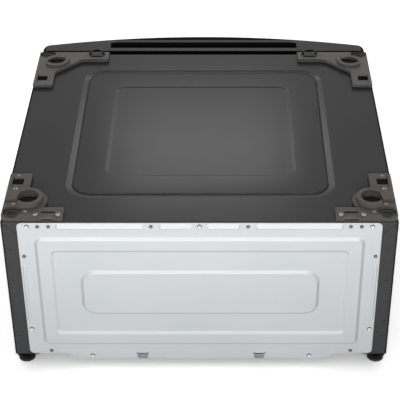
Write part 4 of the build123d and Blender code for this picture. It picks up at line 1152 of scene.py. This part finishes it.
@dataclass
class Foot:
    """One levelling foot: threaded stud, hexagonal base and rubber sole."""

    corner: str
    pitch: float = 1.5 * MM
    thread_depth: float = 0.75 * MM
    thread_flank: Range = (1.0 / 7.0, 6.0 / 7.0)
    thread_rows: int = 6
    thread_sides: int = 36
    end_taper: float = 0.1
    end_least: float = 0.35
    base_sides: int = 72
    base_sharpness: float = 26.0
    base_seat: float = 13.8 * MM
    base_neck: float = 9.5 * MM
    base_hole: float = 5.05 * MM
    base_middle: float = 1.0 * MM
    sole_sides: int = 48

    def stud(self) -> None:
        """Thread: radius less the depth times a blunted triangle wave of height over pitch less turn."""
        node = f"{self.corner}_foot_stud"
        low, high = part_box(node)
        middle = middle_of(low, high, 0.0)
        radius = (high.x - low.x) / 2.0
        heights = np.linspace(low.z, high.z, int((high.z - low.z) / self.pitch * self.thread_rows))
        angles = ring_angles(self.thread_sides)
        phase = (heights[:, None] / self.pitch - angles[None, :] / (2.0 * math.pi)) % 1.0
        valley = ramp(1.0 - np.abs(2.0 * phase - 1.0), *self.thread_flank)
        ends = np.clip((high.z - heights) / self.pitch, self.end_least, 1.0)[:, None]
        radii = (radius - self.thread_depth * valley) * (1.0 - self.end_taper * (1.0 - ends))
        closed = turned(np.pad(radii, ((1, 1), (0, 0))), np.pad(heights, 1, mode="edge"), angles)
        shape = Shape()
        shape.patch(closed + middle, wrap=True)
        shape.stand_in(f"{self.corner}_stud_thread", node, f"{self.corner}_leg", Shading.THREAD, ZINC)

    def base(self) -> None:
        """Round-cornered hexagon stacked through a taper, a waist line and a softened top."""
        node = f"{self.corner}_foot_base"
        low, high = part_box(node)
        middle = middle_of(low, high, low.z)
        angles = ring_angles(self.base_sides)
        wide = hexagon(angles, high.x - low.x, self.base_sharpness)
        tall = high.z - low.z
        rings = [
            (self.base_middle, 0.0),
            (self.base_seat, 0.0),
            (self.base_seat, 4.3 * MM),
            (0.8 * wide, 4.35 * MM),
            (0.96 * wide, 9.6 * MM),
            (wide, 10.8 * MM),
            (wide, 15.3 * MM),
            (0.985 * wide, 16.1 * MM),
            (0.95 * wide, 16.5 * MM),
            (12.5 * MM, 16.5 * MM),
            (self.base_neck, 17.0 * MM),
            (self.base_neck, tall - 0.5 * MM),
            (self.base_neck - 0.6 * MM, tall),
            (self.base_hole, tall),
            (self.base_hole, 8.2 * MM),
            (self.base_middle, 8.2 * MM),
            (self.base_middle, 0.0),
        ]
        shape = Shape()
        shape.patch(stacked(rings, angles) + middle, wrap=True)
        name, body = f"{self.corner}_base_moulding", f"{self.corner}_leg"
        shape.stand_in(name, node, body, Shading.FOOT_BASE, BLACK_PLASTIC)

    def sole(self) -> None:
        """Cup with a rounded rim and two tread grooves, a profile turned about the foot's axis."""
        node = f"{self.corner}_foot_sole"
        low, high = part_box(node)
        middle = middle_of(low, high, low.z)
        outer = (high.x - low.x) / 2.0 / MM
        centre = [(0.0, 0.0), (4.0, 0.0)]
        inner_groove = [(4.6, 0.6), (5.4, 0.6), (6.0, 0.0), (10.0, 0.0)]
        outer_groove = [(10.6, 0.6), (11.4, 0.6), (12.0, 0.0), (outer - 1.0, 0.0)]
        wall = [(outer, 1.0), (outer, 5.2), (outer - 0.8, 6.0)]
        cup = [(14.9, 6.0), (14.3, 5.5), (14.3, 2.0), (0.0, 2.0)]
        profile = centre + inner_groove + outer_groove + wall + cup
        rings = [(radius * MM, height * MM) for radius, height in profile]
        shape = Shape()
        shape.patch(stacked(rings, ring_angles(self.sole_sides)) + middle, wrap=True)
        name, body = f"{self.corner}_sole_tread", f"{self.corner}_sole"
        shape.stand_in(name, node, body, Shading.SOLE, BLACK_RUBBER)

    def build(self) -> None:
        """Make the stud, the base and the sole."""
        self.stud()
        self.base()
        self.sole()


@dataclass
class NutSet:
    """Nuts of one node: hexagons whose corners are cut by a cone, bored and countersunk."""

    node: str
    body: str = "cabinet"
    sides: int = 60
    bore: float = 5.0 * MM
    cone: float = 1.02
    sink: float = 1.12

    def build(self) -> None:
        """Put a nut where each CAD nut is."""
        shape = Shape()
        angles = ring_angles(self.sides)
        for low, high in islands(self.node):
            middle = (low + high) / 2.0
            middle[2] = low[2]
            tall = high[2] - low[2]
            flats = min(high[0] - low[0], high[1] - low[1])
            full = hexagon(angles, flats)
            cut = np.minimum(full, 0.5 * flats * self.cone)
            rings = [
                (self.bore, 0.0),
                (cut, 0.0),
                (full, 0.1 * tall),
                (full, 0.9 * tall),
                (cut, tall),
                (self.sink * self.bore, tall),
                (self.bore, 0.9 * tall),
                (self.bore, 0.0),
            ]
            shape.patch(stacked(rings, angles) + middle, wrap=True)
        shape.stand_in(self.node + "_dressed", self.node, self.body, Shading.NUT, ZINC)


@dataclass
class Drawer:
    """Bowed front, its finger pocket, and the box behind it.

    Lines on the front's top are measured from its rear. Ranges and limits are parts of a normal.
    """

    body: str = "drawer"
    flat: float = 50.0 * MM
    mouth_far: float = 38.3 * MM
    hollow_far: float = 46.0 * MM
    hollow_half: float = 217.0 * MM
    hollow_slant: float = 25.0 * MM
    face_range: Range = (0.8, 0.95)
    top_range: Range = (0.87, 0.97)
    fold_up: float = 0.1
    back: float = 0.5
    box: tuple[str, ...] = ("drawer_back", "left_drawer_wall", "right_drawer_wall", "drawer_front_liner")
    screws: tuple[str, ...] = ("drawer_front_screws", "inner_rail_screws")

    def front(self) -> None:
        """Copy the front's skin: dull with painted shade where it turns, painted shade at its pocket's
        mouth and painted black shade on its back.
        """
        skin = copied("drawer_front_skin", self.body, Shading.CRISP)
        _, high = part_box("drawer_front_skin")
        normals, _ = faces(skin)
        face = ramp(-normals[:, 1], *self.face_range)
        turning = 1.0 - ramp(normals[:, 2], *self.top_range)
        marked(skin, "matt", turning - face)
        marked(skin, "polished", face)
        # painted shade on the rounded top edges
        marked(skin, "dim", turning * (normals[:, 2] > self.fold_up))
        # painted black shade on the faces that look back into the gap
        marked(skin, "deep_shade", normals[:, 1] > self.back)
        # painted shade on the flat towards the pocket's mouth
        far, near = high.y - self.hollow_far, high.y - self.mouth_far
        hollow_shade = HollowShade(far, near, self.hollow_half, self.hollow_slant)
        finish_piece(skin, replace(CHARCOAL, dull_line=high.y - self.flat, hollow_shade=hollow_shade))

    def build(self) -> None:
        """Make the front, its pocket and the box."""
        self.front()
        finish_piece(copied("handle_pocket", self.body, Shading.MOULDED), BLACK_PLASTIC)
        finish_piece(copied("drawer_bottom", self.body, Shading.CRISP), BOX_GREY)
        for node in self.box:
            paint_node(node, BOX_GREY)
        for node in self.screws:
            paint_node(node, ZINC)
        finish_piece(copied("drawer_bumpers", self.body, Shading.CRISP), BLACK_RUBBER)


@dataclass
class Slides:
    """Telescopic ball slides on both sides."""

    levels: tuple[str, ...] = ("outer", "middle", "inner")
    cages: tuple[str, ...] = ("outer", "inner")

    def build(self) -> None:
        """Dress the rails, cages, balls and screws."""
        for hand in HANDS:
            for level in self.levels:
                paint_node(f"{hand}_{level}_rail", RAIL_STEEL)
            for level in self.cages:
                paint_node(f"{hand}_{level}_ball_cage", RAIL_STEEL)
                balls = copied(f"{hand}_{level}_balls", f"{hand}_{level}_cage", Shading.MOULDED)
                finish_piece(balls, BALL_STEEL)
        paint_node("slide_screws", ZINC)


# Studio


@dataclass(frozen=True)
class Softbox:
    """One soft lamp: its place, the point it faces, size in metres, watts and spread in degrees."""

    name: str
    place: Point
    aim: Point
    width: float
    height: float
    power: float
    spread: float = 180.0
    glare: bool = True

    def build(self) -> None:
        """Hang the lamp, in view of gloss or not."""
        data = bpy.data.lights.new(self.name, "AREA")
        data.shape = "RECTANGLE"
        data.size = self.width
        data.size_y = self.height
        data.energy = self.power
        data.spread = math.radians(self.spread)
        thing = bpy.data.objects.new(self.name, data)
        thing.visible_glossy = self.glare
        thing.location = self.place
        ahead = Vector(self.aim) - Vector(self.place)
        thing.rotation_euler = ahead.to_track_quat("-Z", "Y").to_euler()
        bpy.context.scene.collection.objects.link(thing)


@dataclass
class Studio:
    """White floor, soft light and the camera behind the pedestal."""

    camera_reach: Point = (-0.03862, 1.90692, 1.37036)  # from the shell's rear top edge
    camera_pitch: float = 34.71
    lens: float = 114.6
    sensor: float = 36.0
    shift: float = -0.051
    floor_half: float = 9.0
    floor_level: float = -0.0002
    floor_tone: float = 0.82
    floor_gain: float = 1.25  # added to the tone where the floor is seen
    floor_lift: float = 0.22
    # painted shadow: the floor's glow drops in a patch behind the pedestal
    shadow_patch_drop: float = 0.18
    shadow_patch_width: Range = (0.335, 0.385)
    shadow_patch_depth: Range = (0.2, 0.34)
    ambient: float = 0.42
    lights: tuple[Softbox, ...] = (
        Softbox("rear_key", (0.0, 1.55, 0.9), (0.0, 0.37, 0.42), 1.15, 0.2, 0.95, 41.0, glare=False),
        Softbox("low_fill", (0.35, 2.4, 0.26), (0.0, 0.37, 0.17), 1.2, 0.24, 15.0, glare=False),
        Softbox("far_glow", (0.04, -2.5, 2.04), (0.0, 0.15, 0.35), 0.75, 0.3, 3.9),
    )

    def floor(self) -> None:
        """Flat floor, paler to the camera and to gloss, white outside the shadow, with a painted shadow
        behind where its glow is lifted less.
        """
        line = np.array([-self.floor_half, self.floor_half])
        x, y = np.meshgrid(line, line)
        shape = Shape()
        shape.patch(np.stack([x, y, np.full_like(x, self.floor_level)], axis=-1))
        piece = shape.piece("studio_floor", Shading.CRISP)
        recipe = Recipe("studio_floor")
        matt = recipe.node("BsdfDiffuse", inputs={"Color": (self.floor_tone,) * 3})
        paler = recipe.node("BsdfDiffuse", inputs={"Color": (self.floor_gain,) * 3})
        # painted shadow behind the pedestal, where the glow is lifted less
        behind = (1.0 - recipe.across().over(*self.shadow_patch_width)) * recipe.along("Y").over(*self.shadow_patch_depth)
        glow = self.floor_lift - behind * self.shadow_patch_drop
        lift = recipe.node("Emission", inputs={"Color": (1.0, 1.0, 1.0), "Strength": glow})
        sheet = recipe.node("AddShader", inputs={0: matt, 1: paler})
        both = recipe.node("AddShader", inputs={0: sheet, 1: lift})
        mixed = recipe.node("MixShader", inputs={0: self.seen(recipe.tree), 1: matt, 2: both})
        piece.data.materials.append(recipe.close(mixed))

    def seen(self, tree: bpy.types.NodeTree) -> Wire:
        """Whether a ray shows the studio or only lights with it.

        Args:
            tree: the nodes that ask.

        Returns:
            1 for rays of the camera, of gloss and through glass, 0 for the light on dull surfaces.
        """
        path = tree.nodes.new("ShaderNodeLightPath")
        names = ("Is Camera Ray", "Is Glossy Ray", "Is Transmission Ray")
        camera, gloss, through = (Wire(tree, path.outputs[name]) for name in names)
        return camera.most(gloss).most(through)

    def sky(self) -> None:
        """White where it is seen, softer where it lights."""
        world = bpy.data.worlds.new("studio_sky")
        world.use_nodes = True
        bpy.context.scene.world = world
        tree = world.node_tree
        back = tree.nodes["Background"]
        level = self.seen(tree) * (1.0 - self.ambient) + self.ambient
        tree.links.new(level.socket, back.inputs["Strength"])
        back.inputs["Color"].default_value = (1.0, 1.0, 1.0, 1.0)

    def camera(self) -> None:
        """Camera at the photograph's place, behind and above."""
        data = bpy.data.cameras.new("view")
        data.lens = self.lens
        data.sensor_width = self.sensor
        data.shift_x = self.shift
        data.dof.use_dof = False
        thing = bpy.data.objects.new("view", data)
        _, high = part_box("cabinet_shell")
        thing.location = Vector(self.camera_reach) + Vector((0.0, high.y, high.z))
        thing.rotation_euler = (math.radians(90.0 - self.camera_pitch), 0.0, math.pi)
        bpy.context.scene.collection.objects.link(thing)
        bpy.context.scene.camera = thing

    def build(self) -> None:
        """Set up the floor, the sky, the lights and the camera."""
        bpy.context.scene.view_settings.view_transform = "Standard"
        self.camera()
        self.floor()
        self.sky()
        for light in self.lights:
            light.build()


def main() -> None:
    """Build the studio and the sub-assemblies in order."""
    logging.basicConfig(level=logging.INFO, format="%(name)s %(message)s")
    Studio().build()
    Cabinet().build()
    Brackets().build()
    ScrewSet("bracket_screws", Facing.UP, SHADED_ZINC, Head.ROUND, shaded_line=0.0).build()
    ScrewSet("rear_panel_bright_screws", Facing.REAR, ZINC, Head.HEXAGON).build()
    ScrewSet("rear_panel_dark_screws", Facing.REAR, BLACK_OXIDE, Head.HEXAGON).build()
    for corner in CORNERS:
        Foot(corner).build()
    for node in ("foot_weld_nuts", "foot_lock_nuts"):
        NutSet(node).build()
    Drawer().build()
    Slides().build()


if __name__ == "__main__":
    main()
